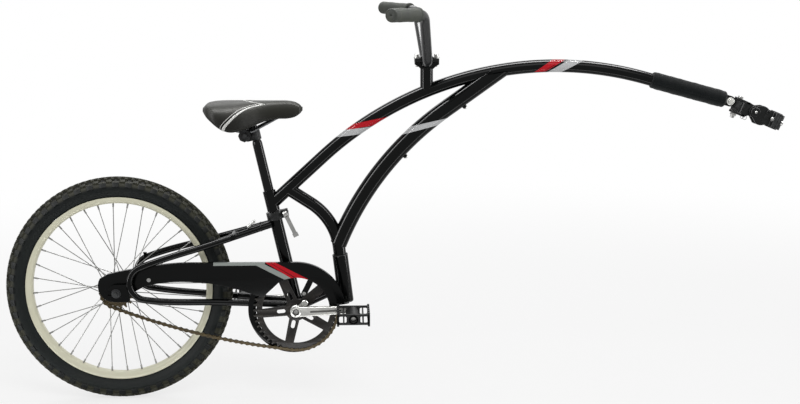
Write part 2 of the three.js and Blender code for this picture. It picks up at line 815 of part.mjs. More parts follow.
addPiece(standAt(pitchPlace, archFrontSlope), 'pitch_bolt', join(
  rodY(pitchBoltShank, 2 * (lugEarOut + gap) + pitchWasherThickness),
  ...[-1, 1].flatMap((side) => [
    rodY(pitchWasher, pitchWasherThickness, tubeSides)
      .translate(0, side * (lugEarOut + gap + pitchWasherThickness * half), 0),
    rodY(pitchBoltHead, pitchBoltHeadHeight, boltSides)
      .translate(0, side * (lugEarOut + gap + pitchWasherThickness + pitchBoltHeadHeight * half - gap), 0),
  ]),
), brightSteel);

// Soft sleeve round the arch's front run, right behind the lug's ears
const padStart = lugNeck + gap - lugEarRadius - overrun * half;
const padLine = new KnottedLine(Array.from({ length: padSteps + 1 }, (unused, i) =>
  backAlongArch(padStart + (padLength * i) / padSteps)));
addPiece(model, 'hitch_pad', cut(bentTube(padLine, frameTube + 2 * (gap + padThickness)), archSkin), padFoam);

// Brace and pivot post: one bent tube from the arch down into the fold sleeve
const braceFoot = alongFold(foldBoltHeadHeight);
const braceBendTop = alongFold(sleeveLength + braceBendAbove);
const braceTop = archFoot.clone().addScaledVector(rearHeading, braceMeetAhead);
// The bend is no wider than the room between the post's line and the brace's top end
const braceSpan = braceTop.clone().sub(braceBendTop);
const braceRoom = braceSpan.lengthSq() * half / -braceSpan.dot(headingAt(foldTilt));
const braceBend = Math.min(braceBendRadius, braceBendFitShare * braceRoom);
const toBraceTop = braceSpan.addScaledVector(headingAt(foldTilt), braceBend);
const braceSlope = Math.atan2(toBraceTop.z, -toBraceTop.x) - Math.asin(braceBend / toBraceTop.length());
const braceTurn = quarter - foldTilt - braceSlope;
const braceCorner = braceBendTop.clone().addScaledVector(foldUp, braceBend * Math.tan(braceTurn * half));
const braceLine = new BentLine([braceFoot, braceCorner, braceTop], [braceBend], wideBendStep * 2);
const braceTube = bentTube(braceLine, frameTube);
const braceSkin = bentTube(braceLine, frameTube + 2 * gap);
const foldBoltHole = boreZ(foldBoltShank + pinholeClear, 2 * foldBoltReach).rotateY(-foldTilt)
  .translate(...braceFoot.toArray());
addPiece(model, 'brace_tube', cut(braceTube, archSkin, foldBoltHole), blackPaint);

// Down tube: straight from the arch's underside, then bent down to the brace
const downFoot = alongFold(sleeveLength + downTubeFootAbove);
const downCentre = downFoot.clone().addScaledVector(headingAt(downTubeFootSlope - quarter), downTubeBend);
const onDownBend = (slope) => downCentre.clone().addScaledVector(headingAt(slope + quarter), downTubeBend);
const downHeading = headingAt(downTubeSlope);
const downBendEnd = onDownBend(downTubeSlope);
const downRun = reachCircle(downBendEnd, downHeading, archCentre, archRadius);
const downCut = downTubeBend * Math.tan((downTubeFootSlope - downTubeSlope) * half);
const downLine = new BentLine([
  downFoot, downFoot.clone().addScaledVector(headingAt(downTubeFootSlope), downCut),
  downBendEnd.clone().addScaledVector(downHeading, downRun + downTube),
], [downTubeBend], wideBendStep);
// Everything above a line just below the arch's centre is cut off the down tube's end
const ceilingTurn = Math.atan2(downBendEnd.z - archCentre.z, downBendEnd.x - archCentre.x);
const ceilingArc = (radius, from, to) => roundOutline(radius, ceilingSteps, from, to - from)
  .map((p) => p.add(new THREE.Vector2(archCentre.x, archCentre.z)));
const ceilingFloor = archRadius - downTubeEndBelow;
const ceiling = sidePlate([
  ...ceilingArc(ceilingFloor, quarter * half, ceilingTurn),
  ...ceilingArc(archRadius + 3 * downTube, ceilingTurn, quarter * half),
], 2 * downTube).translate(0, -downTube, 0);
const downBare = largestPart(cut(bentTube(downLine, downTube), archSkin, braceSkin, ceiling));
// Two bosses on its underside, each given by its place and the way the tube's upper side faces there
const bossSpots = [
  ['upper', downBendEnd.clone().addScaledVector(downHeading, downRun * upperBossShare), downTubeSlope + quarter],
  ['lower', onDownBend(downTubeFootSlope - lowerBossTurn), downTubeFootSlope - lowerBossTurn + quarter],
];
const atBoss = (geometry, [, place, facing]) => geometry.rotateY(-facing).translate(...place.toArray());
const bosses = bossSpots.map((spot) => atBoss(
  rodX(bossDiameter, bossReach).translate(-(downTube + bossReach) * half + bossSink, 0, 0), spot));
const bossHoles = bossSpots.map((spot) => atBoss(
  boreX(bossScrew + pinholeClear, 2 * bossReach).translate(-downTube * half - bossReach + bossSink, 0, 0), spot));
addPiece(model, 'down_tube', cut(join(downBare, ...bosses), ...bossHoles), blackPaint);
for (const spot of bossSpots) {
  const face = -downTube * half - bossReach + bossSink - gap;
  addPiece(model, `boss_screw_${spot[0]}`, atBoss(join(
    rodX(bossScrew, bossReach).translate(face + bossReach * half, 0, 0),
    rodX(bossScrewHead, bossScrewHeadHeight).translate(face - bossScrewHeadHeight * half, 0, 0),
  ), spot), brightSteel);
}

// Stem: an upright tube on the arch with the lower jaw of the bar clamp
const stemFoot = onBend(-stemSetback);
const barPlace = stemFoot.clone().add(new THREE.Vector3(0, 0, barRise));
const barBore = barTube + 2 * gap;
const stemNeck = straightTube(stemFoot, barPlace.clone().add(new THREE.Vector3(0, 0, -gap)), stemTube);
const lowerJaw = block(stemJaw, stemJawWidth, stemJawThickness)
  .translate(barPlace.x, 0, barPlace.z - gap - stemJawThickness * half);
const barHole = boreY(barBore, stemJawWidth + overrun, discSides).translate(barPlace.x, 0, barPlace.z);
const stemBoltHoles = [-1, 1].map((end) => boreZ(stemBoltShank + pinholeClear, 2 * stemJaw)
  .translate(barPlace.x + end * stemBoltSpread, 0, barPlace.z));
const stemRaw = cut(join(stemNeck, lowerJaw), archSkin, barHole, ...stemBoltHoles);
addPiece(model, 'stem', largestPart(stemRaw), blackPaint);

const upperJaw = block(stemJaw, stemJawWidth, stemJawThickness)
  .translate(barPlace.x, 0, barPlace.z + gap + stemJawThickness * half);
const capCrown = rodY(barTube + 2 * stemCapCrown, stemJawWidth, discSides).translate(barPlace.x, 0, barPlace.z);
const belowSplit = block(2 * stemJaw, 2 * stemJaw, stemJaw).translate(barPlace.x, 0, barPlace.z + gap - stemJaw * half);
addPiece(model, 'stem_cap', cut(join(upperJaw, capCrown), belowSplit, barHole, ...stemBoltHoles), blackSatin);
for (const [name, end] of [['front', 1], ['rear', -1]]) {
  const bolt = join(
    rodZ(stemBoltShank, stemBoltReach).translate(0, 0, -stemBoltReach * half + gap),
    rodZ(stemBoltHead, stemBoltHeadHeight).translate(0, 0, stemBoltHeadHeight * half),
  );
  addPiece(model, `stem_bolt_${name}`, bolt, brightSteel)
    .position.set(barPlace.x + end * stemBoltSpread, 0, barPlace.z + stemJawThickness + 2 * gap);
}

// Handlebar: up and out from the clamp, then swept back to the grips
const barSide = (side) => [
  new THREE.Vector3(0, side * barFoot, 0),
  new THREE.Vector3(-barElbowBack, side * barElbowOut, barElbowRise),
  new THREE.Vector3(-barElbowBack - barEndRun * Math.sin(barSweep),
    side * (barElbowOut + barEndRun * Math.cos(barSweep)), barElbowRise + barEndRise),
];
const barCorners = [...barSide(-1).reverse(), ...barSide(1)];
const barLine = new BentLine(barCorners, [barElbowBend, barFootBend, barFootBend, barElbowBend], bendStep);
const barGroup = standAt(barPlace, 0);
addPiece(barGroup, 'handlebar', bentTube(barLine, barTube), blackSatin);

// Grips: rubber sleeves with a closed end, a flange at the hand stop and ribs round them
function gripProfile() {
  const bore = boreOf(barBore, tubeSides) * half;
  const outer = gripDiameter * half;
  const profile = [[bore, 0], [gripFlange * half, 0], [gripFlange * half, gripFlangeLength]];
  const ribRun = (gripLength - 2 * gripFlangeLength) / gripRibs;
  for (let i = 0; i < gripRibs; i++) {
    profile.push([outer, gripFlangeLength + ribRun * i + ribRun * gripRibDepth * half]);
    profile.push([outer - gripRibDepth, gripFlangeLength + ribRun * (i + 1)]);
  }
  profile.push([outer, gripLength - gripFlangeLength * half], [outer - gripRibDepth * 2, gripLength]);
  profile.push([gripEndHole * half, gripLength], [gripEndHole * half, gripLength - gripEndWall]);
  profile.push([bore, gripLength - gripEndWall], [bore, 0]);
  return profile;
}
for (const [name, side] of [['right', -1], ['left', 1]]) {
  const [, elbow, end] = barSide(side);
  const outward = end.clone().sub(elbow).normalize();
  const start = end.clone().addScaledVector(outward, gripEndWall + gap - gripLength);
  const grip = addPiece(barGroup, `${name}_grip`, turned(gripProfile(), tubeSides), gripRubber);
  grip.position.copy(start);
  grip.quaternion.setFromUnitVectors(new THREE.Vector3(0, 1, 0), outward);
}

// Rear frame: bottom bracket shell, seat tube, link tube and fold sleeve
const shellBore = bracketShell - 2 * bracketShellWall;
addPiece(standAt(bracket, 0), 'bottom_bracket_shell', sleeve(bracketShell, shellBore, bracketShellWidth, discSides), blackPaint);
const bracketCutter = boreY(bracketShell + 2 * gap, bracketShellWidth + overrun, discSides).translate(...bracket.toArray());

const seatTubeOuter = straightTube(alongSeat(0), alongSeat(seatTubeLength), frameTube);
const seatTubeHollow = straightTube(alongSeat(seatTubeSolidFoot), alongSeat(seatTubeLength + overrun), seatTubeBore);
addPiece(model, 'seat_tube', cut(seatTubeOuter, seatTubeHollow, bracketCutter), blackPaint);
const seatTubeSkin = straightTube(alongSeat(-bracketShell), alongSeat(seatTubeLength), frameTube + 2 * gap);

const sleeveBore = sleeveDiameter - 2 * sleeveWall;
const foldSleeve = standAt(alongFold(sleeveLength * half), -foldTilt);
addPiece(foldSleeve, 'fold_sleeve', sleeve(sleeveDiameter, sleeveBore, sleeveLength, discSides), blackPaint)
  .rotation.x = Math.PI * half;
const sleeveCutter = boreZ(sleeveDiameter + 2 * gap, 2 * sleeveLength, discSides).rotateY(-foldTilt)
  .translate(...alongFold(0).toArray());
const linkBare = straightTube(bracket, alongFold(linkMeetAbove), frameTube);

// Flanged bushing that the pivot post turns in
const bushingInner = boreOf(frameTube + gap, tubeSides) * half;
const bushingOuter = (sleeveBore - gap) * half;
addPiece(foldSleeve, 'fold_bushing', turned([
  [bushingInner, -sleeveLength + gap], [bushingOuter, -sleeveLength + gap], [bushingOuter, gap],
  [sleeveDiameter * half, gap], [sleeveDiameter * half, gap + bushingFlange],
  [bushingInner, gap + bushingFlange], [bushingInner, -sleeveLength + gap],
], tubeSides), blackPlastic).rotation.x = Math.PI * half;
model.getObjectByName('fold_bushing').position.z = sleeveLength * half;
const foldBoltTop = foldBoltHeadHeight + foldBoltReach - 2 * gap;
const washerTop = -gap;
addPiece(standAt(foldFoot, -foldTilt), 'fold_bolt', join(
  rodZ(foldBoltShank, foldBoltTop - washerTop + foldWasherThickness)
    .translate(0, 0, (foldBoltTop + washerTop - foldWasherThickness) * half),
  rodZ(foldWasher, foldWasherThickness, discSides).translate(0, 0, washerTop - foldWasherThickness * half),
  rodZ(foldBoltHead, foldBoltHeadHeight, boltSides)
    .translate(0, 0, washerTop - foldWasherThickness - foldBoltHeadHeight * half + gap),
), darkSteel);

// Stays: each side is one tube that runs back from the seat tube, round a loop and forward again
const loopCentre = new THREE.Vector3(axle.x + stayLoopAhead, 0, axle.z + stayLoopRise);
// The seatstay leaves the loop so that it meets the seat tube just below the tube's top
const seatstayEnd = alongSeat(seatTubeLength - seatstayTopBelow);
const toStayEnd = seatstayEnd.clone().sub(loopCentre);
const seatstaySlope = Math.atan2(toStayEnd.z, toStayEnd.x) - Math.asin(stayLoopRadius / toStayEnd.length());
const seatstayHeading = headingAt(seatstaySlope);
const chainstayHeading = headingAt(-chainstayDrop);
const loopTurn = Math.PI - seatstaySlope - chainstayDrop;
const loopTop = loopCentre.clone().add(
  new THREE.Vector3(-stayLoopRadius * Math.sin(seatstaySlope), 0, stayLoopRadius * Math.cos(seatstaySlope)));
const loopBottom = loopCentre.clone().add(
  new THREE.Vector3(-stayLoopRadius * Math.sin(chainstayDrop), 0, -stayLoopRadius * Math.cos(chainstayDrop)));
const loopKnots = 8;

function stayPoint(from, heading, ahead, out, side) {
  const run = (axle.x + ahead - from.x) / heading.x;
  const at = from.clone().addScaledVector(heading, run);
  at.y = side * out;
  return at;
}

function stayLine(side) {
  const seatstay = [
    stayPoint(loopTop, seatstayHeading, seatstayEnd.x - axle.x, seatstayEndOut, side),
    stayPoint(loopTop, seatstayHeading, tyreRadius - seatstayTyreCover, tyreClearOut, side),
  ];
  const chainstay = [
    stayPoint(loopBottom, chainstayHeading, tyreRadius - chainstayTyreCover, tyreClearOut, side),
    stayPoint(loopBottom, chainstayHeading, tyreRadius + chainstayPastTyre, chainstayRingOut, side),
    stayPoint(loopBottom, chainstayHeading, bracketAhead, chainstayEndOut, side),
  ];
  const loop = Array.from({ length: loopKnots + 1 }, (unused, i) => {
    const angle = Math.PI * half + seatstaySlope + (loopTurn * i) / loopKnots;
    return new THREE.Vector3(loopCentre.x + stayLoopRadius * Math.cos(angle), side * stayLoopOut,
      loopCentre.z + stayLoopRadius * Math.sin(angle));
  });
  return new KnottedLine([...seatstay, ...loop, ...chainstay]);
}

// Bridge between the seatstays, ahead of the tyre, welded to the right one
const bridgeMiddle = loopTop.clone().addScaledVector(seatstayHeading,
  reachCircle(loopTop, seatstayHeading, axle, tyreRadius + bridgeTyreGap));
const leftStaySkin = bentTube(stayLine(1), stayTube + 2 * gap, staySides);
const bridgeRod = rodY(bridgeTube, tyreClearOut + bridgeReach)
  .translate(bridgeMiddle.x, (tyreClearOut - bridgeReach) * half, bridgeMiddle.z);
const bridgeBossRod = rodX(bridgeBoss, bridgeBossReach).rotateY(-seatstaySlope)
  .translate(bridgeMiddle.x, 0, bridgeMiddle.z);
const bridge = largestPart(cut(join(bridgeRod, bridgeBossRod), leftStaySkin));

for (const [name, side] of [['right', -1], ['left', 1]]) {
  const line = stayLine(side);
  const tube = cut(bentTube(line, stayTube, staySides), seatTubeSkin, bracketCutter);
  // Dropout: a plate on the loop's back, with an open slot for the axle
  const round = rodY(2 * dropoutRadius, dropoutThickness, discSides);
  const arm = block(stayLoopAhead - stayLoopRadius, dropoutThickness, 2 * dropoutRadius)
    .translate((stayLoopAhead - stayLoopRadius) * half, 0, 0);
  const slot = block(dropoutSlotDepth + dropoutRadius, dropoutThickness + overrun, axleDiameter + pinholeClear)
    .translate(-(dropoutSlotDepth + dropoutRadius) * half, 0, 0);
  const slotEnd = rodY(axleDiameter + pinholeClear, dropoutThickness + overrun);
  const plate = cut(join(round, arm), slot, slotEnd)
    .translate(axle.x, side * (dropoutWidth + dropoutThickness) * half, axle.z);
  const stay = join(largestPart(tube), plate);
  addPiece(model, `${name}_stay`, side < 0 ? join(stay, bridge) : stay, blackPaint);
}

// Seat post collar, split at the front, and its quick release
const collar = standAt(alongSeat(seatTubeLength - collarHeight * half), -seatTilt);
const collarInner = frameTube + 2 * gap;
const collarOuter = collarInner + 2 * collarWall;
const collarRing = sleeve(collarOuter, collarInner, collarHeight, discSides).rotateX(Math.PI * half);
const collarEarBlock = block(collarEarReach, collarSlot + 2 * collarEar, collarHeight)
  .translate(skewerAhead - collarEarReach * half + skewerDiameter, 0, 0);
const collarEarFull = block(skewerAhead - collarInner * half, collarSlot + 2 * collarEar, collarHeight)
  .translate((skewerAhead + collarInner * half) * half, 0, 0);
const collarCut = block(collarOuter, collarSlot, collarHeight + overrun).translate(collarOuter * half + collarInner * half, 0, 0);
addPiece(collar, 'seat_collar', cut(
  join(collarRing, collarEarBlock, collarEarFull),
  boreZ(collarInner, collarHeight + overrun, discSides), collarCut,
  boreY(skewerDiameter + pinholeClear, collarOuter).translate(skewerAhead, 0, 0),
), blackSatin);
const earFace = collarSlot * half + collarEar + gap;
const skewer = standAt(new THREE.Vector3(skewerAhead, 0, 0), 0, collar);
addPiece(skewer, 'qr_skewer', join(
  rodY(skewerDiameter, 2 * earFace + skewerStub + skewerNutLength)
    .translate(0, (skewerNutLength - skewerStub) * half, 0),
  rodY(skewerNut, skewerNutLength).translate(0, earFace + skewerNutLength * half, 0),
), brightSteel);
// The lever's head is a cam barrel whose axis lies fore and aft, its blade hangs down
const leverPivotOut = earFace + skewerStub + gap + leverHead * half;
const leverGroup = standAt(new THREE.Vector3(0, -leverPivotOut, 0), seatTilt - leverSlope, skewer);
const leverBladeRun = block(leverHeadWidth, leverBlade, leverLength - leverTipLength)
  .translate(0, -leverBlade * half, -(leverLength - leverTipLength) * half);
const leverTip = block(leverTipWidth, leverBlade, leverTipLength)
  .translate(0, -leverBlade * half, -leverLength + leverTipLength * half);
addPiece(leverGroup, 'qr_lever', join(rodX(leverHead, leverHeadWidth, tubeSides), leverBladeRun, leverTip), brightSteel);

// Chain wheels: a toothed disc outline of a given count
function pitchRadius(teeth) {
  return (chainPitch * half) / Math.sin(Math.PI / teeth);
}

function toothedOutline(teeth) {
  const radius = pitchRadius(teeth);
  const root = radius - toothRoot;
  const tip = radius + toothRise;
  return Array.from({ length: teeth }, (unused, i) => i).flatMap((i) => {
    const at = (turn * i) / teeth;
    return [[root, -toothRootShare], [tip, -toothTipShare], [tip, toothTipShare], [root, toothRootShare]].map(([r, share]) => {
      const angle = at + (turn * share) / teeth;
      return new THREE.Vector2(r * Math.cos(angle), r * Math.sin(angle));
    });
  });
}

// The window between two arms: an arc inside the rim, two arm sides, and a corner at the hub
function ringWindow(index) {
  const arm = (turn * index) / ringArms + ringArmTurn;
  const next = arm + turn / ringArms;
  const outer = ringInner * half;
  const inner = ringHub * half;
  const outerHalf = Math.asin((ringArmWidth * half) / outer);
  const innerHalf = Math.asin((ringArmWidth * half + windowCorner * half) / (inner + windowCorner));
  const rimArc = roundOutline(outer, windowSteps, arm + outerHalf, next - arm - 2 * outerHalf);
  const hubArc = roundOutline(inner + windowCorner, hubSteps, arm + innerHalf, next - arm - 2 * innerHalf).reverse();
  return [...rimArc, ...hubArc];
}

function armSlot(index) {
  const arm = (turn * index) / ringArms + ringArmTurn;
  const run = (ringSlotLength - ringSlotWidth) * half;
  const ends = [
    ...roundOutline(ringSlotWidth * half, slotSteps, -Math.PI * half, Math.PI).map((p) => p.add(new THREE.Vector2(run, 0))),
    ...roundOutline(ringSlotWidth * half, slotSteps, Math.PI * half, Math.PI).map((p) => p.add(new THREE.Vector2(-run, 0))),
  ];
  return ends.map((p) => p.add(new THREE.Vector2(ringSlotRadius, 0)).rotateAround(new THREE.Vector2(), arm));
}

const ringIndexes = Array.from({ length: ringArms }, (unused, i) => i);
const crankGroup = standAt(bracket, 0);
const ringBore = roundOutline(boreOf(spindleDiameter, discSides) * half + gap, discSides);
const drivePlace = new THREE.Vector2(crankDriveRadius * Math.cos(ringArmTurn), crankDriveRadius * Math.sin(ringArmTurn));
const driveHole = roundOutline((crankDrivePin + pinholeClear) * half, smallSides).map((p) => p.add(drivePlace));
addPiece(crankGroup, 'chainring', sidePlate(toothedOutline(ringTeeth), ringThickness, [
  ringBore, driveHole, ...ringIndexes.map(ringWindow), ...ringIndexes.slice(1).map(armSlot),
]).translate(0, -chainLine - ringThickness * half, 0), blackSatin);

// Bearing cartridge in the bottom bracket, and the spindle through it
const cartridgeOuter = shellBore * half - gap;
const cartridgeEnd = bracketShellWidth * half + gap;
addPiece(crankGroup, 'bearing_cartridge', turned([
  [cartridgeBore * half, -cartridgeEnd - cartridgeFlangeWidth], [cartridgeFlange * half, -cartridgeEnd - cartridgeFlangeWidth],
  [cartridgeFlange * half, -cartridgeEnd], [cartridgeOuter, -cartridgeEnd],
  [cartridgeOuter, cartridgeEnd], [cartridgeFlange * half, cartridgeEnd],
  [cartridgeFlange * half, cartridgeEnd + cartridgeFlangeWidth], [cartridgeBore * half, cartridgeEnd + cartridgeFlangeWidth],
  [cartridgeBore * half, -cartridgeEnd - cartridgeFlangeWidth],
], tubeSides), darkSteel);
const bossStart = chainLine + ringThickness * half + gap;
const spindleEndOut = bossStart + crankBossWidth - crankRecessDepth;
addPiece(crankGroup, 'crank_spindle', turned([
  [0, -spindleEndOut], [spindleEnd * half, -spindleEndOut], [spindleEnd * half, -bossStart + gap],
  [spindleDiameter * half, -bossStart + overrun * half], [spindleDiameter * half, bossStart - overrun * half],
  [spindleEnd * half, bossStart - gap], [spindleEnd * half, spindleEndOut], [0, spindleEndOut],
], smallSides), brightSteel);

// Crank arms, in a frame turned so that x runs along the arm, on the side given by its sign
function crankArm(side, withDrive) {
  const boss = rodY(crankBoss, crankBossWidth, discSides).translate(0, side * (bossStart + crankBossWidth * half), 0);
  const armOut = side * crankArmOut;
  const arm = block(crankLength, crankArmThickness, crankArmWidth).translate(crankLength * half, armOut, 0);
  const eye = rodY(crankArmWidth, crankArmThickness, tubeSides).translate(crankLength, armOut, 0);
  const eyeOuter = crankArmOut + crankArmThickness * half;
  const collarRun = rodY(pedalSpindleCollar, pedalSpindleCollarLength)
    .translate(crankLength, side * (eyeOuter + pedalSpindleCollarLength * half - gap), 0);
  const spindleRun = pedalSpindleCollarLength + pedalWidth;
  const spindle = rodY(pedalSpindle, spindleRun).translate(crankLength, side * (eyeOuter + spindleRun * half - gap), 0);
  const parts = [boss, arm, eye, collarRun, spindle];
  if (withDrive) {
    const reach = new THREE.Vector2(crankDriveRadius, 0).rotateAround(new THREE.Vector2(), ringArmTurn - crankTurn);
    const bossOut = side * (bossStart + crankArmThickness * half);
    parts.push(rodY(crankDriveBoss, crankArmThickness, tubeSides).translate(reach.x, bossOut, reach.y));
    parts.push(block(crankDriveRadius, crankArmThickness, crankDriveBoss)
      .translate(crankDriveRadius * half, bossOut, 0).rotateY(crankTurn - ringArmTurn));
    parts.push(rodY(crankDrivePin, ringThickness + overrun)
      .translate(reach.x, side * (bossStart - (ringThickness + overrun) * half + gap + overrun * half), reach.y));
  }
  const recess = rodY(crankRecess, 2 * crankRecessDepth, discSides).translate(0, side * (bossStart + crankBossWidth), 0);
  const eyeOfSpindle = boreY(spindleEnd + 2 * gap, 2 * spindleEndOut + overrun);
  return cut(join(...parts), recess, eyeOfSpindle);
}
const pedalMiddle = crankArmOut + crankArmThickness * half + pedalSpindleCollarLength + pedalWidth * half;
const cranks = [['right', -1, -crankTurn], ['left', 1, Math.PI - crankTurn]];
for (const [name, side, turnedBy] of cranks) {
  const crank = standAt(bracket, turnedBy);
  addPiece(crank, `${name}_crank`, crankArm(side, side < 0), brushedAlloy);
  addPedal(standAt(new THREE.Vector3(crankLength, side * pedalMiddle, 0), -turnedBy, crank), `${name}_pedal`);
}

// Pedal: a barrel on the spindle, two end walls, and two toothed cage sides
function addPedal(group, name) {
  const inner = pedalWidth * half - pedalCage;
  const barrel = rodY(pedalBarrel, pedalWidth, tubeSides);
  const walls = [-1, 1].map((end) => block(pedalLength, pedalCage, pedalThickness)
    .translate(0, end * (inner + pedalCage * half), 0));
  const toothRun = pedalWidth / (2 * pedalTeeth - 1);
  const rise = pedalThickness * half;
  const comb = [new THREE.Vector2(-pedalWidth * half, -rise)];
  for (let i = 0; i < 2 * pedalTeeth - 1; i++) {
    const level = i % 2 ? rise : rise + pedalToothHeight;
    comb.push(new THREE.Vector2(pedalWidth * half - toothRun * i, -level));
    comb.push(new THREE.Vector2(pedalWidth * half - toothRun * (i + 1), -level));
  }
  const lower = comb.slice(1);
  const upper = lower.map((p) => new THREE.Vector2(p.x, -p.y)).reverse();
  const cages = [-1, 1].map((end) => sidePlate([...lower, ...upper], pedalCage).rotateZ(Math.PI * half)
    .translate(end * (pedalLength * half - pedalCage * half) + pedalCage * half, 0, 0));
  const bore = boreY(pedalBore, pedalWidth + overrun);
  addPiece(group, name, cut(join(barrel, ...walls, ...cages), bore), blackPlastic);
}

// Wheel, about the lateral axis
const wheel = standAt(axle, 0);
const strapIn = guardOut - gap - guardStrapThickness;
addPiece(wheel, 'axle', axleSolid(), darkSteel);
function axleSolid() {
  const inner = dropoutWidth * half - gap;
  const outer = dropoutWidth * half + dropoutThickness + gap;
  const end = outer + axleWasherThickness + axleNutHeight + axleStickOut * half;
  const hubEnd = hubWidth * half + runningGap;
  const nutEnds = [[-1, strapIn - gap], [1, inner]];
  const spacerStart = strapIn + guardStrapThickness + gap;
  const sides = [-1, 1].flatMap((side) => [
    rodY(axleWasher, axleWasherThickness, tubeSides).translate(0, side * (outer + axleWasherThickness * half), 0),
    rodY(axleNut, axleNutHeight, boltSides)
      .translate(0, side * (outer + axleWasherThickness + axleNutHeight * half - gap), 0),
  ]);
  const locknuts = nutEnds.map(([side, nutEnd]) => rodY(axleLocknut, nutEnd - hubEnd, boltSides)
    .translate(0, side * (nutEnd + hubEnd) * half, 0));
  const spacer = rodY(guardBore - 2 * runningGap, inner - spacerStart)
    .translate(0, -(inner + spacerStart) * half, 0);
  return join(rodY(axleDiameter, 2 * end), spacer, ...locknuts, ...sides);
}

const flangeIn = hubWidth * half - hubFlangeThickness;
addPiece(wheel, 'hub', turned([
  [hubBore * half, -hubWidth * half], [hubFlange * half, -hubWidth * half], [hubFlange * half, -flangeIn],
  [hubNeck * half, -flangeIn], [hubShell * half, 0], [hubNeck * half, flangeIn], [hubFlange * half, flangeIn],
  [hubFlange * half, hubWidth * half], [hubBore * half, hubWidth * half], [hubBore * half, -hubWidth * half],
], discSides), blackSatin);

// The cog and the driver that screws on to the hub's drive side
const cogInnerFace = hubWidth * half + runningGap;
const cogEye = roundOutline(boreOf(axleLocknut, discSides) * half + gap, discSides);
const cogOuterFace = chainLine + cogThickness * half;
const cogDriver = sidePlate(roundOutline(cogBore * half, discSides), cogOuterFace - cogInnerFace, [cogEye])
  .translate(0, -cogOuterFace, 0);
const cogDisc = sidePlate(toothedOutline(cogTeeth), cogThickness, [cogEye]).translate(0, -cogOuterFace, 0);
addPiece(wheel, 'cog', join(cogDisc, cogDriver), chainBronze);

// Rim: a deep well between two hooked walls
const rimInner = rimOuterRadius - rimDepth;
addPiece(wheel, 'rim', turned([
  [rimInner, -rimWidth * half + rimWall], [rimOuterRadius, -rimWidth * half], [rimOuterRadius, -rimWidth * half + rimWall],
  [rimOuterRadius - rimWell, -rimWidth * half + rimWall], [rimOuterRadius - rimWell, rimWidth * half - rimWall],
  [rimOuterRadius, rimWidth * half - rimWall], [rimOuterRadius, rimWidth * half],
  [rimInner, rimWidth * half - rimWall], [rimInner, -rimWidth * half + rimWall],
], wheelSides), rimPaint);

// Tyre: rings round the wheel, with each shoulder and tread point raised at every other ring
function tyreGeometry() {
  const wide = tyreWidth * half - tyreKnob;
  const inner = rimOuterRadius + gap;
  const crown = tyreRadius - tyreKnob;
  const deep = crown - inner;
  const raisedRows = tyreSectionShares.map(([out, up, phase]) => [inner + deep * up, wide * out, phase]);
  const section = [[inner, -rimWidth * half, 0], ...raisedRows, [inner, rimWidth * half, 0]];
  const rings = 2 * tyreKnobs;
  const points = [];
  const faces = [];
  for (let i = 0; i < rings; i++) {
    const angle = (turn * i) / rings;
    for (const [radius, y, phase] of section) {
      const raised = phase === 0 ? 0 : (i % 2 === (phase > 0 ? 0 : 1) ? tyreKnob : 0);
      const r = radius + raised * (radius - inner) / deep;
      const out = y + (raised * y * half) / wide;
      points.push(r * Math.cos(angle), out, r * Math.sin(angle));
    }
  }
  const count = section.length;
  for (let i = 0; i < rings; i++) {
    for (let k = 0; k < count; k++) {
      const a = i * count + k;
      const b = i * count + ((k + 1) % count);
      const c = ((i + 1) % rings) * count + k;
      const d = ((i + 1) % rings) * count + ((k + 1) % count);
      faces.push(a, b, c, b, d, c);
    }
  }
  const geometry = new THREE.BufferGeometry();
  geometry.setAttribute('position', new THREE.BufferAttribute(new Float32Array(points), 3));
  geometry.setIndex(faces);
  return geometry;
}
addPiece(wheel, 'tyre', tyreGeometry(), tyreRubber);

// Spokes: on each side the crossed spokes touch one another, so they make one laced set
const spokeShape = (length) => new THREE.LatheGeometry([
  [0, 0], [spokeDiameter * half, 0], [spokeDiameter * half, length - nippleLength],
  [nippleDiameter * half, length], [0, length],
].map(([radius, along]) => new THREE.Vector2(radius, along)), spokeSides);

function spokeSet(side) {
  const perSide = spokes / 2;
  const hubRadius = hubFlange * half - spokeHoleInset;
  const rimRadius = rimInner - nippleShy;
  const offset = side > 0 ? turn / spokes : 0;
  const crossing = (turn * spokeCrossTurns) / perSide;
  const set = [];
  for (let i = 0; i < perSide; i++) {
    const at = (turn * i) / perSide + offset;
    const lean = i % 2 ? crossing : -crossing;
    const lay = hubWidth * half + spokeStandOff + spokeDiameter * (half + (i % 2) * spokeLayShare);
    const foot = new THREE.Vector3(hubRadius * Math.cos(at), side * lay, hubRadius * Math.sin(at));
    const head = new THREE.Vector3(rimRadius * Math.cos(at + lean), side * spokeRimSpread * half,
      rimRadius * Math.sin(at + lean));
    const spoke = spokeShape(foot.distanceTo(head));
    const heading = head.clone().sub(foot).normalize();
    spoke.applyQuaternion(new THREE.Quaternion().setFromUnitVectors(new THREE.Vector3(0, 1, 0), heading));
    set.push(spoke.translate(foot.x, foot.y, foot.z));
  }
  return join(...set);
}
addPiece(wheel, 'right_spokes', spokeSet(-1), brightSteel);
addPiece(wheel, 'left_spokes', spokeSet(1), brightSteel);

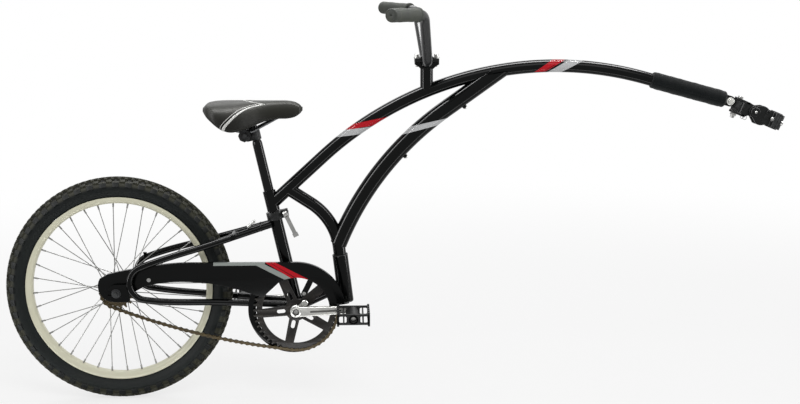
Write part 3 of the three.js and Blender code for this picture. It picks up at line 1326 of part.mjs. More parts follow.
// Chain: side plates all the way round, rollers where it lies on the ring and the cog
function chainGeometry() {
  const ringAt = new THREE.Vector2(bracket.x, bracket.z);
  const cogAt = new THREE.Vector2(axle.x, axle.z);
  const ringR = pitchRadius(ringTeeth);
  const cogR = pitchRadius(cogTeeth);
  const between = ringAt.clone().sub(cogAt);
  const lean = Math.asin((ringR - cogR) / between.length());
  const base = between.angle();
  // Tangent points on each wheel, as turns from +x; the wrap on the ring faces forward
  const topTurn = base + Math.PI * half + lean;
  const bottomTurn = base - Math.PI * half - lean;
  const loopOutline = (grow) => {
    const outline = [];
    for (let i = 0; i <= ringSteps; i++) {
      const angle = bottomTurn + ((topTurn - bottomTurn) * i) / ringSteps;
      outline.push(new THREE.Vector2(Math.cos(angle), Math.sin(angle)).multiplyScalar(ringR + grow).add(ringAt));
    }
    for (let i = 0; i <= cogSteps; i++) {
      const angle = topTurn + ((turn - (topTurn - bottomTurn)) * i) / cogSteps;
      outline.push(new THREE.Vector2(Math.cos(angle), Math.sin(angle)).multiplyScalar(cogR + grow).add(cogAt));
    }
    // The slack lower run hangs in a shallow bow back to the ring
    const [slackStart, slackEnd] = [outline.at(-1), outline[0]];
    for (let i = 1; i < chainSagSteps; i++) {
      const share = i / chainSagSteps;
      const hang = new THREE.Vector2(0, -4 * chainSag * share * (1 - share));
      outline.push(slackStart.clone().lerp(slackEnd, share).add(hang));
    }
    return outline;
  };
  const outer = loopOutline(chainPlateHeight * half);
  const inner = loopOutline(-chainPlateHeight * half);
  const plates = [-1, 1].map((side) => sidePlate(outer, chainPlate, [inner])
    .translate(0, side * (chainInnerWidth + chainPlate) * half - chainPlate * half, 0));
  const rollers = [];
  const addRollers = (centre, radius, teeth, from, span) => {
    const first = Math.ceil((from * teeth) / turn - half);
    const last = Math.floor(((from + span) * teeth) / turn - half);
    for (let i = first; i <= last; i++) {
      const angle = (turn * (i + half)) / teeth;
      rollers.push(rodY(chainRoller, chainInnerWidth + chainPlate, rollerSides)
        .translate(centre.x + radius * Math.cos(angle), 0, centre.y + radius * Math.sin(angle)));
    }
  };
  addRollers(ringAt, ringR, ringTeeth, bottomTurn, topTurn - bottomTurn);
  addRollers(cogAt, cogR, cogTeeth, topTurn, turn - (topTurn - bottomTurn));
  return join(...plates, ...rollers).translate(0, -chainLine, 0);
}
addPiece(model, 'chain', chainGeometry(), chainBronze);

// Chain guard: a pressed plate outside the chain with a lip over its top run
const fromBracket = (ahead, rise) => new THREE.Vector2(bracket.x + ahead, bracket.z + rise);
const fromAxle = (ahead, rise) => new THREE.Vector2(axle.x + ahead, axle.z + rise);
const guardBand = (radius, from, span, steps) => roundOutline(radius, steps, from, span)
  .map((p) => p.add(fromBracket(0, 0)));
const guardTop = [
  fromAxle(-guardTailTopBehind, guardTailTopRise), fromAxle(guardTailAhead, guardTailRise),
  fromAxle(guardTopRearAhead, guardTopRearRise), fromBracket(-guardBellyStartBehind, guardRise - gap),
];
const guardOutline = [
  ...guardTop,
  ...guardBand(guardBandOuter, Math.PI * half, guardBandEnd - Math.PI * half, 10),
  ...guardBand(guardBandInner, guardBandEnd, guardBandInnerTurn - guardBandEnd, 12),
  fromBracket(-guardBellyBehind, guardBellyRise), fromBracket(-guardBellyStartBehind, guardBellyStartRise),
  fromAxle(guardWaistAhead, guardWaistRise), fromAxle(guardTailMeetAhead, -guardTailMeetDrop),
  ...roundOutline(guardTailRadius, 10, guardTailFoot, guardTailTurn - guardTailFoot)
    .map((p) => p.add(fromAxle(-guardTailBehind, guardTailRaise))),
];
const guardAxleHole = roundOutline(guardBore * half, discSides).map((p) => p.add(fromAxle(0, 0)));
const guardScrewHole = roundOutline(boreOf(guardScrewShank + 2 * gap) * half, smallSides)
  .map((p) => p.add(fromAxle(guardScrewAhead, guardScrewRise)));
const guardPlate = sidePlate(guardOutline, guardThickness, [guardAxleHole, guardScrewHole])
  .translate(0, -guardOut - guardThickness, 0);
const lipTop = [...guardTop.slice(1), ...guardBand(guardBandOuter, Math.PI * half, -Math.PI * half / 3, 4)];
const lipOutline = [...lipTop, ...lipTop.map((p) => new THREE.Vector2(p.x, p.y - guardLipThickness)).reverse()];
const guardLipPlate = sidePlate(lipOutline, guardLip).translate(0, -guardOut - gap, 0);
addPiece(model, 'chain_guard', join(guardPlate, guardLipPlate), blackPaint);

// Strap on the axle that the guard's tail is screwed to
const strapLength = Math.hypot(guardScrewAhead, guardScrewRise);
const strapBlank = join(
  rodY(guardStrapEye, guardStrapThickness, discSides),
  block(strapLength, guardStrapThickness, guardStrapWidth).translate(strapLength * half, 0, 0),
  rodY(guardStrapWidth, guardStrapThickness, tubeSides).translate(strapLength, 0, 0),
);
addPiece(standAt(axle, -Math.atan2(guardScrewRise, guardScrewAhead)), 'guard_strap', cut(strapBlank,
  boreY(axleDiameter + 2 * gap, 2 * overrun), boreY(guardScrewShank + 2 * gap, 2 * overrun).translate(strapLength, 0, 0),
).translate(0, -strapIn - guardStrapThickness * half, 0), blackSatin);

const guardScrewPlace = fromAxle(guardScrewAhead, guardScrewRise);
addPiece(model, 'guard_screw', join(
  rodY(guardScrewHead, guardScrewHeadHeight, tubeSides)
    .translate(0, -guardOut - guardThickness - gap - guardScrewHeadHeight * half, 0),
  rodY(guardScrewShank, guardOut + guardThickness + guardScrewHeadHeight - strapIn)
    .translate(0, -(guardOut + guardThickness + guardScrewHeadHeight + strapIn) * half, 0),
), brightSteel).position.set(guardScrewPlace.x, 0, guardScrewPlace.y);

// Inner guard: a dish behind the chainring, with a tab screwed to a boss on the frame
function innerGuardOutline() {
  const wide = innerGuardWideTurn - innerGuardStart;
  const taper = innerGuardEnd - innerGuardWideTurn;
  const taperSteps = 7;
  const wideArc = roundOutline(innerGuardOuter, 7, innerGuardStart, wide);
  const taperArc = Array.from({ length: taperSteps }, (unused, i) => {
    const share = (i + 1) / taperSteps;
    const angle = innerGuardWideTurn + taper * share;
    const radius = innerGuardOuter + (innerGuardTaper - innerGuardOuter) * share;
    return new THREE.Vector2(radius * Math.cos(angle), radius * Math.sin(angle));
  });
  const innerArc = roundOutline(innerGuardInner, 14, innerGuardEnd, innerGuardStart - innerGuardEnd);
  return [...wideArc, ...taperArc, ...innerArc];
}
const innerTab = join(
  block(innerGuardInner + overrun - innerGuardScrewRadius, innerGuardThickness, innerGuardTabWidth)
    .translate((innerGuardInner + overrun + innerGuardScrewRadius) * half, 0, 0),
  rodY(innerGuardTabWidth, innerGuardThickness, tubeSides).translate(innerGuardScrewRadius, 0, 0),
).rotateY(-innerGuardStart).translate(0, innerGuardThickness * half, 0);
const innerScrewPlace = new THREE.Vector2(innerGuardScrewRadius, 0)
  .rotateAround(new THREE.Vector2(), innerGuardStart);
// Boss in the crotch of the seat tube and the link tube, and the screw into it
const bossFaceOut = innerGuardOut - gap;
const guardBoss = join(
  rodY(innerGuardBossDiameter, bossFaceOut).translate(innerScrewPlace.x, -bossFaceOut * half, innerScrewPlace.y),
  block(innerScrewPlace.x * 2, guardBossPlate, innerScrewPlace.y)
    .translate(0, -guardBossPlate * half, innerScrewPlace.y * half + innerGuardBossDiameter * half),
).translate(...bracket.toArray());
const screwHoleRun = boreY(guardScrewShank + 2 * gap, bossFaceOut)
  .translate(bracket.x + innerScrewPlace.x, -bossFaceOut, bracket.z + innerScrewPlace.y);
addPiece(model, 'link_tube', largestPart(cut(join(linkBare, guardBoss), seatTubeSkin, bracketCutter, sleeveCutter,
  screwHoleRun)), blackPaint);
const innerFace = -innerGuardOut - innerGuardThickness - gap;
addPiece(crankGroup, 'inner_guard_screw', join(
  rodY(guardScrewHead, innerScrewHeadHeight).translate(0, innerFace - innerScrewHeadHeight * half, 0),
  rodY(guardScrewShank, 2 * overrun).translate(0, innerFace + overrun - gap, 0),
), brightSteel).position.set(innerScrewPlace.x, 0, innerScrewPlace.y);
addPiece(standAt(bracket, 0), 'inner_guard', cut(
  join(sidePlate(innerGuardOutline(), innerGuardThickness), innerTab),
  boreY(guardScrewShank + 2 * gap, 2 * overrun).translate(innerScrewPlace.x, 0, innerScrewPlace.y),
).translate(0, -innerGuardOut - innerGuardThickness, 0), blackPaint);

// Seat post: a straight tube, a shoulder and a thinner neck
const seat = standAt(bracket, -seatTilt);
addPiece(seat, 'seatpost', new THREE.LatheGeometry([
  [0, postFoot], [postDiameter * half, postFoot], [postDiameter * half, postShoulder],
  [postNeck * half, postShoulder + postTaper], [postNeck * half, postShoulder + postNeckLength],
  [0, postShoulder + postNeckLength],
].map(([radius, height]) => new THREE.Vector2(radius, height)), tubeSides), blackPaint)
  .rotation.x = Math.PI * half;

// Saddle, level, on rails; its frame has x forward from the clamp and z up from the rail line
const saddlePlace = alongSeat(railLevel);
const saddle = standAt(saddlePlace, 0);
const saddleTop = saddleTopHeight - boreHeight - saddlePlace.z;
const railRear = -saddleClampBehind - railClampRun * half;
const railFront = -saddleClampBehind + railClampRun * half;

// Rails: one wire with two parallel runs, joined at the nose
const railSide = (side) => [
  new THREE.Vector3(railRear - railTailRun, side * railSpread * half, railTailRise),
  new THREE.Vector3(railRear, side * railSpread * half, 0),
  new THREE.Vector3(railFront, side * railSpread * half, 0),
  new THREE.Vector3(railFront + railNoseRun, side * railNoseSpread * half, railNoseRise),
];
const railCorners = [...railSide(1), ...railSide(-1).reverse()];
const railBends = [railBend, railBend, railNoseBend, railNoseBend, railBend, railBend];
const railLine = new BentLine(railCorners, railBends, bendStep * 2);
addPiece(saddle, 'saddle_rails', bentTube(railLine, railDiameter, railSides), darkSteel);
const railSkin = bentTube(railLine, boreOf(railDiameter + 2 * gap, railSides), railSides);

// Clamp: a collar on the post's neck with a serrated barrel behind it, and a bolt through
// the barrel whose serrated end discs press on the rails
const clampAxis = new THREE.Vector3(-saddleClampBehind, 0, -saddleClampDrop);
const toClamp = (geometry) => geometry.translate(...clampAxis.toArray());
const serrated = (diameter, length) => toClamp(sidePlate(
  roundOutline(diameter * half, 2 * saddleClampTeeth)
    .map((p, i) => (i % 2 ? p.clone().setLength(diameter * half - saddleClampToothDepth) : p)), length)
  .translate(0, -length * half, 0));
const neckRing = rodZ(saddleCollar, saddleCollarHeight, discSides);
const neckWeb = block(saddleClampBehind, saddleCollarWeb, saddleCollarHeight).translate(-saddleClampBehind * half, 0, 0);
const collarBody = join(neckRing, neckWeb).translate(0, 0, -saddleCollarHeight * half + saddleCollarRise).rotateY(-seatTilt);
const barrelWidth = railSpread - gap;
const discWidth = saddleClampDisc;
const clampBoltBore = boreY(saddleClampBolt + 2 * gap, 2 * railSpread).translate(...clampAxis.toArray());
const neckBore = boreZ(postNeck + 2 * gap, 2 * saddleCollarHeight, tubeSides).rotateY(-seatTilt);
addPiece(saddle, 'saddle_clamp', cut(join(collarBody, serrated(saddleClampDiameter, barrelWidth)),
  neckBore, clampBoltBore, railSkin), blackSatin);
const clampFace = barrelWidth * half + gap + discWidth;
const clampDiscs = [-1, 1].map((side) => serrated(saddleClampDiameter, discWidth)
  .translate(0, side * (clampFace - discWidth * half), 0));
addPiece(saddle, 'saddle_clamp_bolt', cut(join(
  toClamp(rodY(saddleClampBolt, 2 * clampFace + saddleClampNutHeight)), ...clampDiscs,
  ...[-1, 1].map((side) => toClamp(rodY(saddleClampNut, saddleClampNutHeight, boltSides)
    .translate(0, side * (clampFace + (saddleClampNutHeight - gap) * half), 0))),
), railSkin), blackSatin);

// One ring of a saddle shell: over the top from side to side, then back underneath.
// The shell's outside is drawn in by one set of insets and its underside by another.
function saddleRing(i, outside, inside, steps = saddleAcross) {
  const x = -saddleTailBehind + saddleLength * stationShares[i];
  const halfWidth = saddleWidth * half * widthShares[i];
  const top = saddleTop - saddleSkirt * topDropShares[i];
  const bottom = saddleTop - saddleSkirt * skirtShares[i];
  const across = (inset) => Array.from({ length: steps + 1 }, (unused, k) => {
    const angle = (Math.PI * k) / steps;
    const wide = Math.max(halfWidth - inset.side, halfWidth * saddleNarrowShare);
    const high = Math.max(top - bottom - inset.top, (top - bottom) * saddleNarrowShare);
    const run = Math.cos(angle);
    return new THREE.Vector3(x, wide * Math.sign(run) * Math.abs(run) ** saddleFlatShare,
      bottom + inset.edge + high * Math.sin(angle) ** saddleRoundShare);
  });
  return [...across(outside), ...across(inside).reverse()];
}

const padInside = { side: saddlePadSide, top: saddlePadThickness, edge: 0 };
const padOutside = { side: 0, top: 0, edge: 0 };
addPiece(saddle, 'saddle_cover', loft(stationShares.map((unused, i) => saddleRing(i, padOutside, padInside))), saddleVinyl);
const baseOutside = { side: saddlePadSide + 2 * runningGap, top: saddlePadThickness + 2 * runningGap, edge: 0 };
const baseInside = {
  side: baseOutside.side + saddleBaseThickness, top: baseOutside.top + saddleBaseThickness, edge: 0,
};
const baseRings = [1, 3, 5, 7, 8, 9, 11].map((i) => saddleRing(i, baseOutside, baseInside, saddleAcross * half));
const baseShell = loft(baseRings);
const baseSockets = [
  ...[-1, 1].map((side) => block(railSocket, railSocket, railSocketHeight).translate(
    railRear - railTailRun + railSocket * railSocketShare, side * railSpread * half, railTailRise + railSocketLift)),
  block(railSocket, railNoseSpread + railDiameter, railNoseSocketHeight)
    .translate(railFront + railNoseRun - railSocket * railSocketShare, 0, railNoseRise),
];
addPiece(saddle, 'saddle_base', cut(join(baseShell, ...baseSockets), railSkin), blackPlastic);

// Closed surface through rings of equally many points, with a fan over each end
function loft(rings) {
  const count = rings[0].length;
  const points = rings.flat().flatMap((p) => p.toArray());
  const faces = [];
  for (let i = 0; i < rings.length - 1; i++) {
    for (let k = 0; k < count; k++) {
      const a = i * count + k;
      const b = i * count + ((k + 1) % count);
      faces.push(a, b, a + count, b, b + count, a + count);
    }
  }
  for (const [ring, flip] of [[0, false], [rings.length - 1, true]]) {
    const start = ring * count;
    for (let k = 0; k < count / 2 - 1; k++) {
      const a = start + k;
      const b = start + k + 1;
      const c = start + count - 1 - k;
      const d = start + count - 2 - k;
      if (flip) faces.push(a, b, c, b, d, c);
      else faces.push(a, c, b, b, c, d);
    }
  }
  const geometry = new THREE.BufferGeometry();
  geometry.setAttribute('position', new THREE.BufferAttribute(new Float32Array(points), 3));
  geometry.setIndex(faces);
  return geometry;
}

export default model;
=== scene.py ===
import math

import bmesh
import bpy
import numpy as np
from mathutils import Matrix, Vector


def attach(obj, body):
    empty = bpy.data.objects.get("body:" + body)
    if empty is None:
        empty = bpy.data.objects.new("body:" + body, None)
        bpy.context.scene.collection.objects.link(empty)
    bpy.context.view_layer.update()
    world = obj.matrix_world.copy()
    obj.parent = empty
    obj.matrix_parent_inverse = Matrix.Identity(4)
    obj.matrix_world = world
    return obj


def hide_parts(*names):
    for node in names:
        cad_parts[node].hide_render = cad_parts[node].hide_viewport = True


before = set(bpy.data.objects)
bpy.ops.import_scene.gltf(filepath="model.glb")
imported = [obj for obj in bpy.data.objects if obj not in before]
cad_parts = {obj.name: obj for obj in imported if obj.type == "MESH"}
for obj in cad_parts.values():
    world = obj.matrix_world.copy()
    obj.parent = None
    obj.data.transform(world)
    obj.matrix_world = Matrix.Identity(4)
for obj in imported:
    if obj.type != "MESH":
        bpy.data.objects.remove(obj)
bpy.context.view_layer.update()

# Camera: on the right of the trailer bike, a little behind square and looking slightly down, at the
# angle of a catalogue picture of the whole length.
camera_at = Vector((-0.98225, -3.15063, 0.34606))
camera_turn = math.radians(2.5)
camera_dip = math.radians(9.5)
sensor_width, lens_length, sight_end = 36, 63.81, 100
view_ahead = Vector((math.sin(camera_turn) * math.cos(camera_dip),
                     math.cos(camera_turn) * math.cos(camera_dip), -math.sin(camera_dip)))
view_right = Vector((math.cos(camera_turn), -math.sin(camera_turn), 0))
camera = bpy.data.objects.new("camera", bpy.data.cameras.new("camera"))
camera.data.sensor_width = sensor_width
camera.data.lens = lens_length
camera.data.clip_end = sight_end
camera.matrix_world = (Matrix.Translation(camera_at) @ Matrix((
    view_right, view_right.cross(view_ahead), -view_ahead)).transposed().to_4x4())
bpy.context.collection.objects.link(camera)
bpy.context.scene.camera = camera
bpy.context.scene.view_settings.view_transform = "Standard"


# Studio: a pale floor under the tyre, a white surround and one broad soft lamp over each side of the bike.
# Four long strips light nothing: they only show in the gloss, as the bright lines along the tubes.
def node(tree, kind, sockets=(), **settings):
    """A new shader node; sockets pairs each input, by name or number, with a value or another node's output."""
    made = tree.nodes.new(kind)
    for name, value in settings.items():
        setattr(made, name, value)
    for name, value in dict(sockets).items():
        if isinstance(value, bpy.types.NodeSocket):
            tree.links.new(value, made.inputs[name])
        else:
            made.inputs[name].default_value = value
    return made


def worked(tree, operation, *values, **settings):
    """What a Math node makes of its values."""
    return node(tree, "ShaderNodeMath", enumerate(values), operation=operation, **settings).outputs[0]


def ranged(tree, value, low, high, to_low=0.0, to_high=1.0, **settings):
    """A value carried from the range low to high over to the range to_low to to_high, and held at its ends."""
    return node(tree, "ShaderNodeMapRange", {"Value": value, "From Min": low, "From Max": high,
                                             "To Min": to_low, "To Max": to_high}, **settings).outputs[0]


def linear(red, green, blue):
    """A screen colour of 0 to 255 as linear light: ((c + 0.055) / 1.055) ^ 2.4, or c / 12.92 when dark."""
    shares = np.array([red, green, blue]) / 255
    light = np.where(shares > 0.04045, ((shares + 0.055) / 1.055) ** 2.4, shares / 12.92)
    return (*light.tolist(), 1.0)


def looked_at(tree):
    """1 where the camera, a reflection or a view through something clear meets the surface, otherwise 0."""
    rays = node(tree, "ShaderNodeLightPath").outputs
    seen = worked(tree, "MAXIMUM", rays["Is Camera Ray"], rays["Is Glossy Ray"])
    return worked(tree, "MAXIMUM", seen, rays["Is Transmission Ray"])


white = (1, 1, 1, 1)
bike_middle = -0.86
floor_level = -0.627
floor_reach = 40.0
floor_colour = linear(247, 247, 247)
floor_glow = 0.72
glow_near, glow_far = 1.3, 3.4
surround_light = 0.5
lamp_aim = Vector((bike_middle, 0, -0.1))
# Name, place, size, power, and whether the lamp lights the surfaces or only shows in their gloss
lamps = (
    ("key", (-0.2, -2.9, 2.7), (2.6, 1.8), 54.0, True),
    ("left_fill", (-1.5, 3.2, 2.4), (2.4, 1.8), 40.0, True),
    ("top_strip", (-0.9, 0.15, 2.3), (3.6, 0.7), 330.0, False),
    ("low_strip", (-0.9, -0.27, -0.615), (3.2, 0.14), 12.0, False),
    ("front_strip", (1.7, -0.3, 0.9), (0.6, 3.2), 170.0, False),
    ("rear_strip", (-3.3, -0.9, 0.9), (0.5, 3.2), 130.0, False),
)

floor_mesh = bpy.data.meshes.new("floor")
floor_mesh.from_pydata([(x * floor_reach, y * floor_reach, floor_level)
                        for x, y in ((-1, -1), (1, -1), (1, 1), (-1, 1))], [], [(0, 1, 2, 3)])
floor = bpy.data.objects.new("floor", floor_mesh)
bpy.context.collection.objects.link(floor)

floor_look = bpy.data.materials.new("pale_floor")
floor_look.use_nodes = True
tree = floor_look.node_tree
tree.nodes.clear()
spot = node(tree, "ShaderNodeTexCoord").outputs["Object"]
away = node(tree, "ShaderNodeVectorMath", {0: spot, 1: (bike_middle, 0, floor_level)}, operation="DISTANCE")
fade = ranged(tree, away.outputs["Value"], glow_near, glow_far, floor_glow, interpolation_type="SMOOTHSTEP")
plain = node(tree, "ShaderNodeBsdfDiffuse", {"Color": floor_colour})
glow = node(tree, "ShaderNodeEmission", {"Color": white, "Strength": 1.0})
mixed = node(tree, "ShaderNodeMixShader", {0: worked(tree, "MULTIPLY", looked_at(tree), fade),
                                           1: plain.outputs[0], 2: glow.outputs[0]})
node(tree, "ShaderNodeOutputMaterial", {"Surface": mixed.outputs[0]})
floor_mesh.materials.append(floor_look)

surround = bpy.data.worlds.new("surround")
bpy.context.scene.world = surround
surround.use_nodes = True
tree = surround.node_tree
tree.nodes.clear()
level = ranged(tree, looked_at(tree), 0.0, 1.0, surround_light)
light = node(tree, "ShaderNodeBackground", {"Color": white, "Strength": level})
node(tree, "ShaderNodeOutputWorld", {"Surface": light.outputs[0]})

for name, stand, (wide, deep), power, lights_surfaces in lamps:
    lamp = bpy.data.objects.new(name, bpy.data.lights.new(name, "AREA"))
    lamp.data.shape = "RECTANGLE"
    lamp.data.size, lamp.data.size_y = wide, deep
    lamp.data.energy = power
    lamp.location = stand
    lamp.visible_camera = False
    lamp.visible_diffuse = lights_surfaces
    lamp.rotation_euler = (lamp_aim - Vector(stand)).to_track_quat("-Z", "Y").to_euler()
    bpy.context.collection.objects.link(lamp)


# Seat post clamp of the hitch: two black die-cast halves bolted round the leading bicycle's seat post on a
# plastic liner. It stands nose-down, so its own frame is turned: first axis along the hitch line, second
# across, third along the post.
millimetre = 0.001
ahead = np.array([1.0, 0.0, 0.0])
across = np.array([0.0, 1.0, 0.0])
upward = np.array([0.0, 0.0, 1.0])
hitch_slope = math.radians(23)
hitch_out = np.array([math.cos(hitch_slope), 0.0, -math.sin(hitch_slope)])
hitch_up = np.array([math.sin(hitch_slope), 0.0, math.cos(hitch_slope)])
hitch = (np.zeros(3), hitch_out, across, hitch_up)
hitch_side = (np.zeros(3), hitch_out, hitch_up, across)
clamp_bore = 15.9
clamp_width = 62.0
clamp_spine = 34.0
clamp_half_height = 17.0
clamp_flange = 9.0
clamp_split = 0.5
clamp_body_depth = 31.0
clamp_cap_depth = 17.0
casting_edge = 0.9
cheek_radius = 22.0
cheek_setback = 35.0
cheek_drop = 2.0
cheek_front = -18.0
cheek_low, cheek_high = 10.3, 16.3
pin_setback = 51.5
pin_bore = 5.0
coupling_ear = 13.5


def place(points, where):
    """Local numbers (a, b, c) to origin + a first axis + b second axis + c third axis."""
    origin, first, second, third = where
    points = np.asarray(points, float)
    return origin + points[..., :1] * first + points[..., 1:2] * second + points[..., 2:3] * third


def ring_loop(radius, count=48, start=0.0, span=2 * math.pi, centre=(0, 0)):
    """Flat arc: centre + radius (cos t, sin t), t running over span from start; a full turn isn't closed."""
    full = abs(abs(span) - 2 * math.pi) < 1e-9
    turns = np.linspace(start, start + span, count + 1)[:count + (0 if full else 1)]
    return np.stack([centre[0] + radius * np.cos(turns), centre[1] + radius * np.sin(turns)], axis=1)


def corner_arc(before, here, after, radius, count):
    """The arc that rounds a corner: it starts and ends radius x tan(half the turn) from the corner.

    Its points, count(turn) of them, are middle + radius (sideways sin v - inward cos v)."""
    back = (before - here) / np.linalg.norm(before - here)
    onward = (after - here) / np.linalg.norm(after - here)
    turn = math.pi - math.acos(np.clip(back @ onward, -1, 1))
    inward = (back + onward) / np.linalg.norm(back + onward)
    sideways = (onward - back) / np.linalg.norm(onward - back)
    angle = np.linspace(-turn / 2, turn / 2, count(turn))[:, None]
    middle = here + inward * radius / math.cos(turn / 2)
    return middle - inward * radius * np.cos(angle) + sideways * radius * np.sin(angle)


def rounded(corners, radii, steps=5):
    """A closed flat outline whose corners become arcs, apart from those of no radius."""
    corners = np.asarray(corners, float)
    radii = np.broadcast_to(radii, len(corners))
    return np.concatenate([
        corner_arc(before, here, after, radius, lambda turn: steps + 1) if radius > 0 else here[None]
        for here, before, after, radius in zip(corners, np.roll(corners, 1, 0), np.roll(corners, -1, 0),
                                               radii)])


def box_loop(wide, high, radius=1.0, centre=(0, 0)):
    """A rounded rectangle round a centre."""
    half = np.array([[1, 1], [-1, 1], [-1, -1], [1, -1]]) * (wide / 2, high / 2)
    return rounded(half + np.asarray(centre, float), radius)


def with_third(loop, third):
    """Flat points given the same third number."""
    return np.concatenate([loop, np.full((len(loop), 1), float(third))], axis=1)


def prism(loop, where, low, high, edge=0.6):
    """A filled outline between two levels.

    Its rows are the centre, the inset loop, the full loop, and the same three again in turn."""
    loop = np.concatenate([loop, loop[:1]])
    middle = np.mean(loop[:-1], axis=0)
    reach = np.linalg.norm(loop - middle, axis=1, keepdims=True)
    inset = middle + (loop - middle) * (1 - edge / reach)
    point = np.repeat(middle[None], len(loop), 0)
    rows = [with_third(point, low), with_third(inset, low), with_third(loop, low + edge),
            with_third(loop, high - edge), with_third(inset, high), with_third(point, high)]
    return place(np.stack(rows), where)


def turned(profile, where, around=48, flats=0, start=0.0, span=2 * math.pi):
    """Profile rows (radius, level, share of flats) turned round the third axis: radius (cos t, sin t), level.

    With flats, radius is multiplied by cos(pi / n) / cos(t mod (2 pi / n) - pi / n), weighted by the row's
    share."""
    rows = np.array([tuple(row) + (0.0,) * (3 - len(row)) for row in profile], float)
    turns = np.linspace(start, start + span, around + 1)
    scale = np.ones_like(turns)
    if flats:
        step = 2 * math.pi / flats
        scale = math.cos(step / 2) / np.cos(np.mod(turns - start, step) - step / 2)
    wide = rows[:, :1] * (1 - rows[:, 2:] + rows[:, 2:] * scale[None])
    level = np.broadcast_to(rows[:, 1:2], wide.shape)
    return place(np.stack([wide * np.cos(turns), wide * np.sin(turns), level], axis=-1), where)


def plate(outlines, where, low, high, edge=0.4, segments=1):
    """A cut plate with rounded edges: a filled flat curve, thickened and bevelled, then put in its frame."""
    drawn = bpy.data.curves.new("outline", "CURVE")
    drawn.dimensions = "2D"
    drawn.fill_mode = "BOTH"
    drawn.extrude = (high - low) / 2 - edge
    drawn.bevel_depth = edge
    drawn.bevel_resolution = segments
    drawn.offset = -edge
    for outline in outlines:
        spline = drawn.splines.new("POLY")
        spline.points.add(len(outline) - 1)
        spline.points.foreach_set("co", np.concatenate(
            [outline, np.zeros((len(outline), 1)), np.ones((len(outline), 1))], axis=1).ravel())
        spline.use_cyclic_u = True
    holder = bpy.data.objects.new("outline", drawn)
    bpy.context.collection.objects.link(holder)
    bpy.context.view_layer.update()
    flat = bpy.data.meshes.new_from_object(holder.evaluated_get(bpy.context.evaluated_depsgraph_get()))
    points = np.empty(len(flat.vertices) * 3)
    flat.vertices.foreach_get("co", points)
    faces = [tuple(face.vertices) for face in flat.polygons]
    bpy.data.objects.remove(holder)
    bpy.data.curves.remove(drawn)
    bpy.data.meshes.remove(flat)
    points = points.reshape(-1, 3)
    points[:, 2] += (low + high) / 2
    return place(points, where), faces


def sewn(name, parts, sharp, merge):
    """One mesh object from grids of points (rows, columns, 3) and (points, faces) pairs, all in millimetres.

    A grid's quads join neighbours in both directions; equal points are merged and each shell's faces turned
    out."""
    points, faces, base = [], [], 0
    for part in parts:
        if isinstance(part, tuple):
            block, quads = part
            faces.extend([tuple(base + i for i in face) for face in quads])
        else:
            rows, columns = part.shape[:2]
            block = part.reshape(-1, 3)
            start = (np.arange(rows - 1)[:, None] * columns + np.arange(columns - 1)).ravel() + base
            faces.extend(np.stack([start, start + 1, start + columns + 1, start + columns], axis=1).tolist())
        points.append(block)
        base += len(block)
    mesh = bpy.data.meshes.new(name)
    mesh.from_pydata((np.concatenate(points) * millimetre).tolist(), [], faces)
    form = bmesh.new()
    form.from_mesh(mesh)
    bmesh.ops.remove_doubles(form, verts=form.verts, dist=merge)
    bmesh.ops.dissolve_degenerate(form, edges=form.edges, dist=1e-7)
    bmesh.ops.recalc_face_normals(form, faces=form.faces)
    form.to_mesh(mesh)
    form.free()
    mesh.polygons.foreach_set("use_smooth", np.ones(len(mesh.polygons), bool))
    mesh.set_sharp_from_angle(angle=math.radians(sharp))
    piece = bpy.data.objects.new(name, mesh)
    bpy.context.collection.objects.link(piece)
    return piece


def fitted(name, parts, look, body, slot, *stands_for, sharp=32, merge=1e-5):
    """Sews a piece, gives it its finish and the body it rides on, and hides the solids it stands for.

    The slot is not used.
    """
    piece = sewn(name, parts, sharp, merge)
    piece.data.materials.append(look)
    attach(piece, body)
    if stands_for:
        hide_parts(*stands_for)
    return piece


def dress(look, *nodes):
    """Gives carried-over solids a finish through their material slots."""
    for name in nodes:
        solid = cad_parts[name]
        if not solid.material_slots:
            solid.data.materials.append(look)
        for held in solid.material_slots:
            held.material = look


def blended(tree, mask, under, over):
    """Colour that goes from under to over by a mask."""
    mix = tree.nodes.new("ShaderNodeMix")
    mix.data_type = "RGBA"
    for socket, value in ((0, mask), (6, under), (7, over)):
        if isinstance(value, bpy.types.NodeSocket):
            tree.links.new(value, mix.inputs[socket])
        else:
            mix.inputs[socket].default_value = value
    return mix.outputs[2]


def node_group(name, inputs, outputs):
    """A new shader group, from each input's name and starting number or colour and each output's name and kind.

    Gives the group, its inputs as seen from inside, and the sockets that its results go to."""
    group = bpy.data.node_groups.new(name, "ShaderNodeTree")
    for label, start in inputs:
        kind = "NodeSocketColor" if isinstance(start, tuple) else "NodeSocketFloat"
        group.interface.new_socket(label, in_out="INPUT", socket_type=kind).default_value = start
    for label, kind in outputs:
        group.interface.new_socket(label, in_out="OUTPUT", socket_type=kind)
    return group, group.nodes.new("NodeGroupInput").outputs, group.nodes.new("NodeGroupOutput").inputs


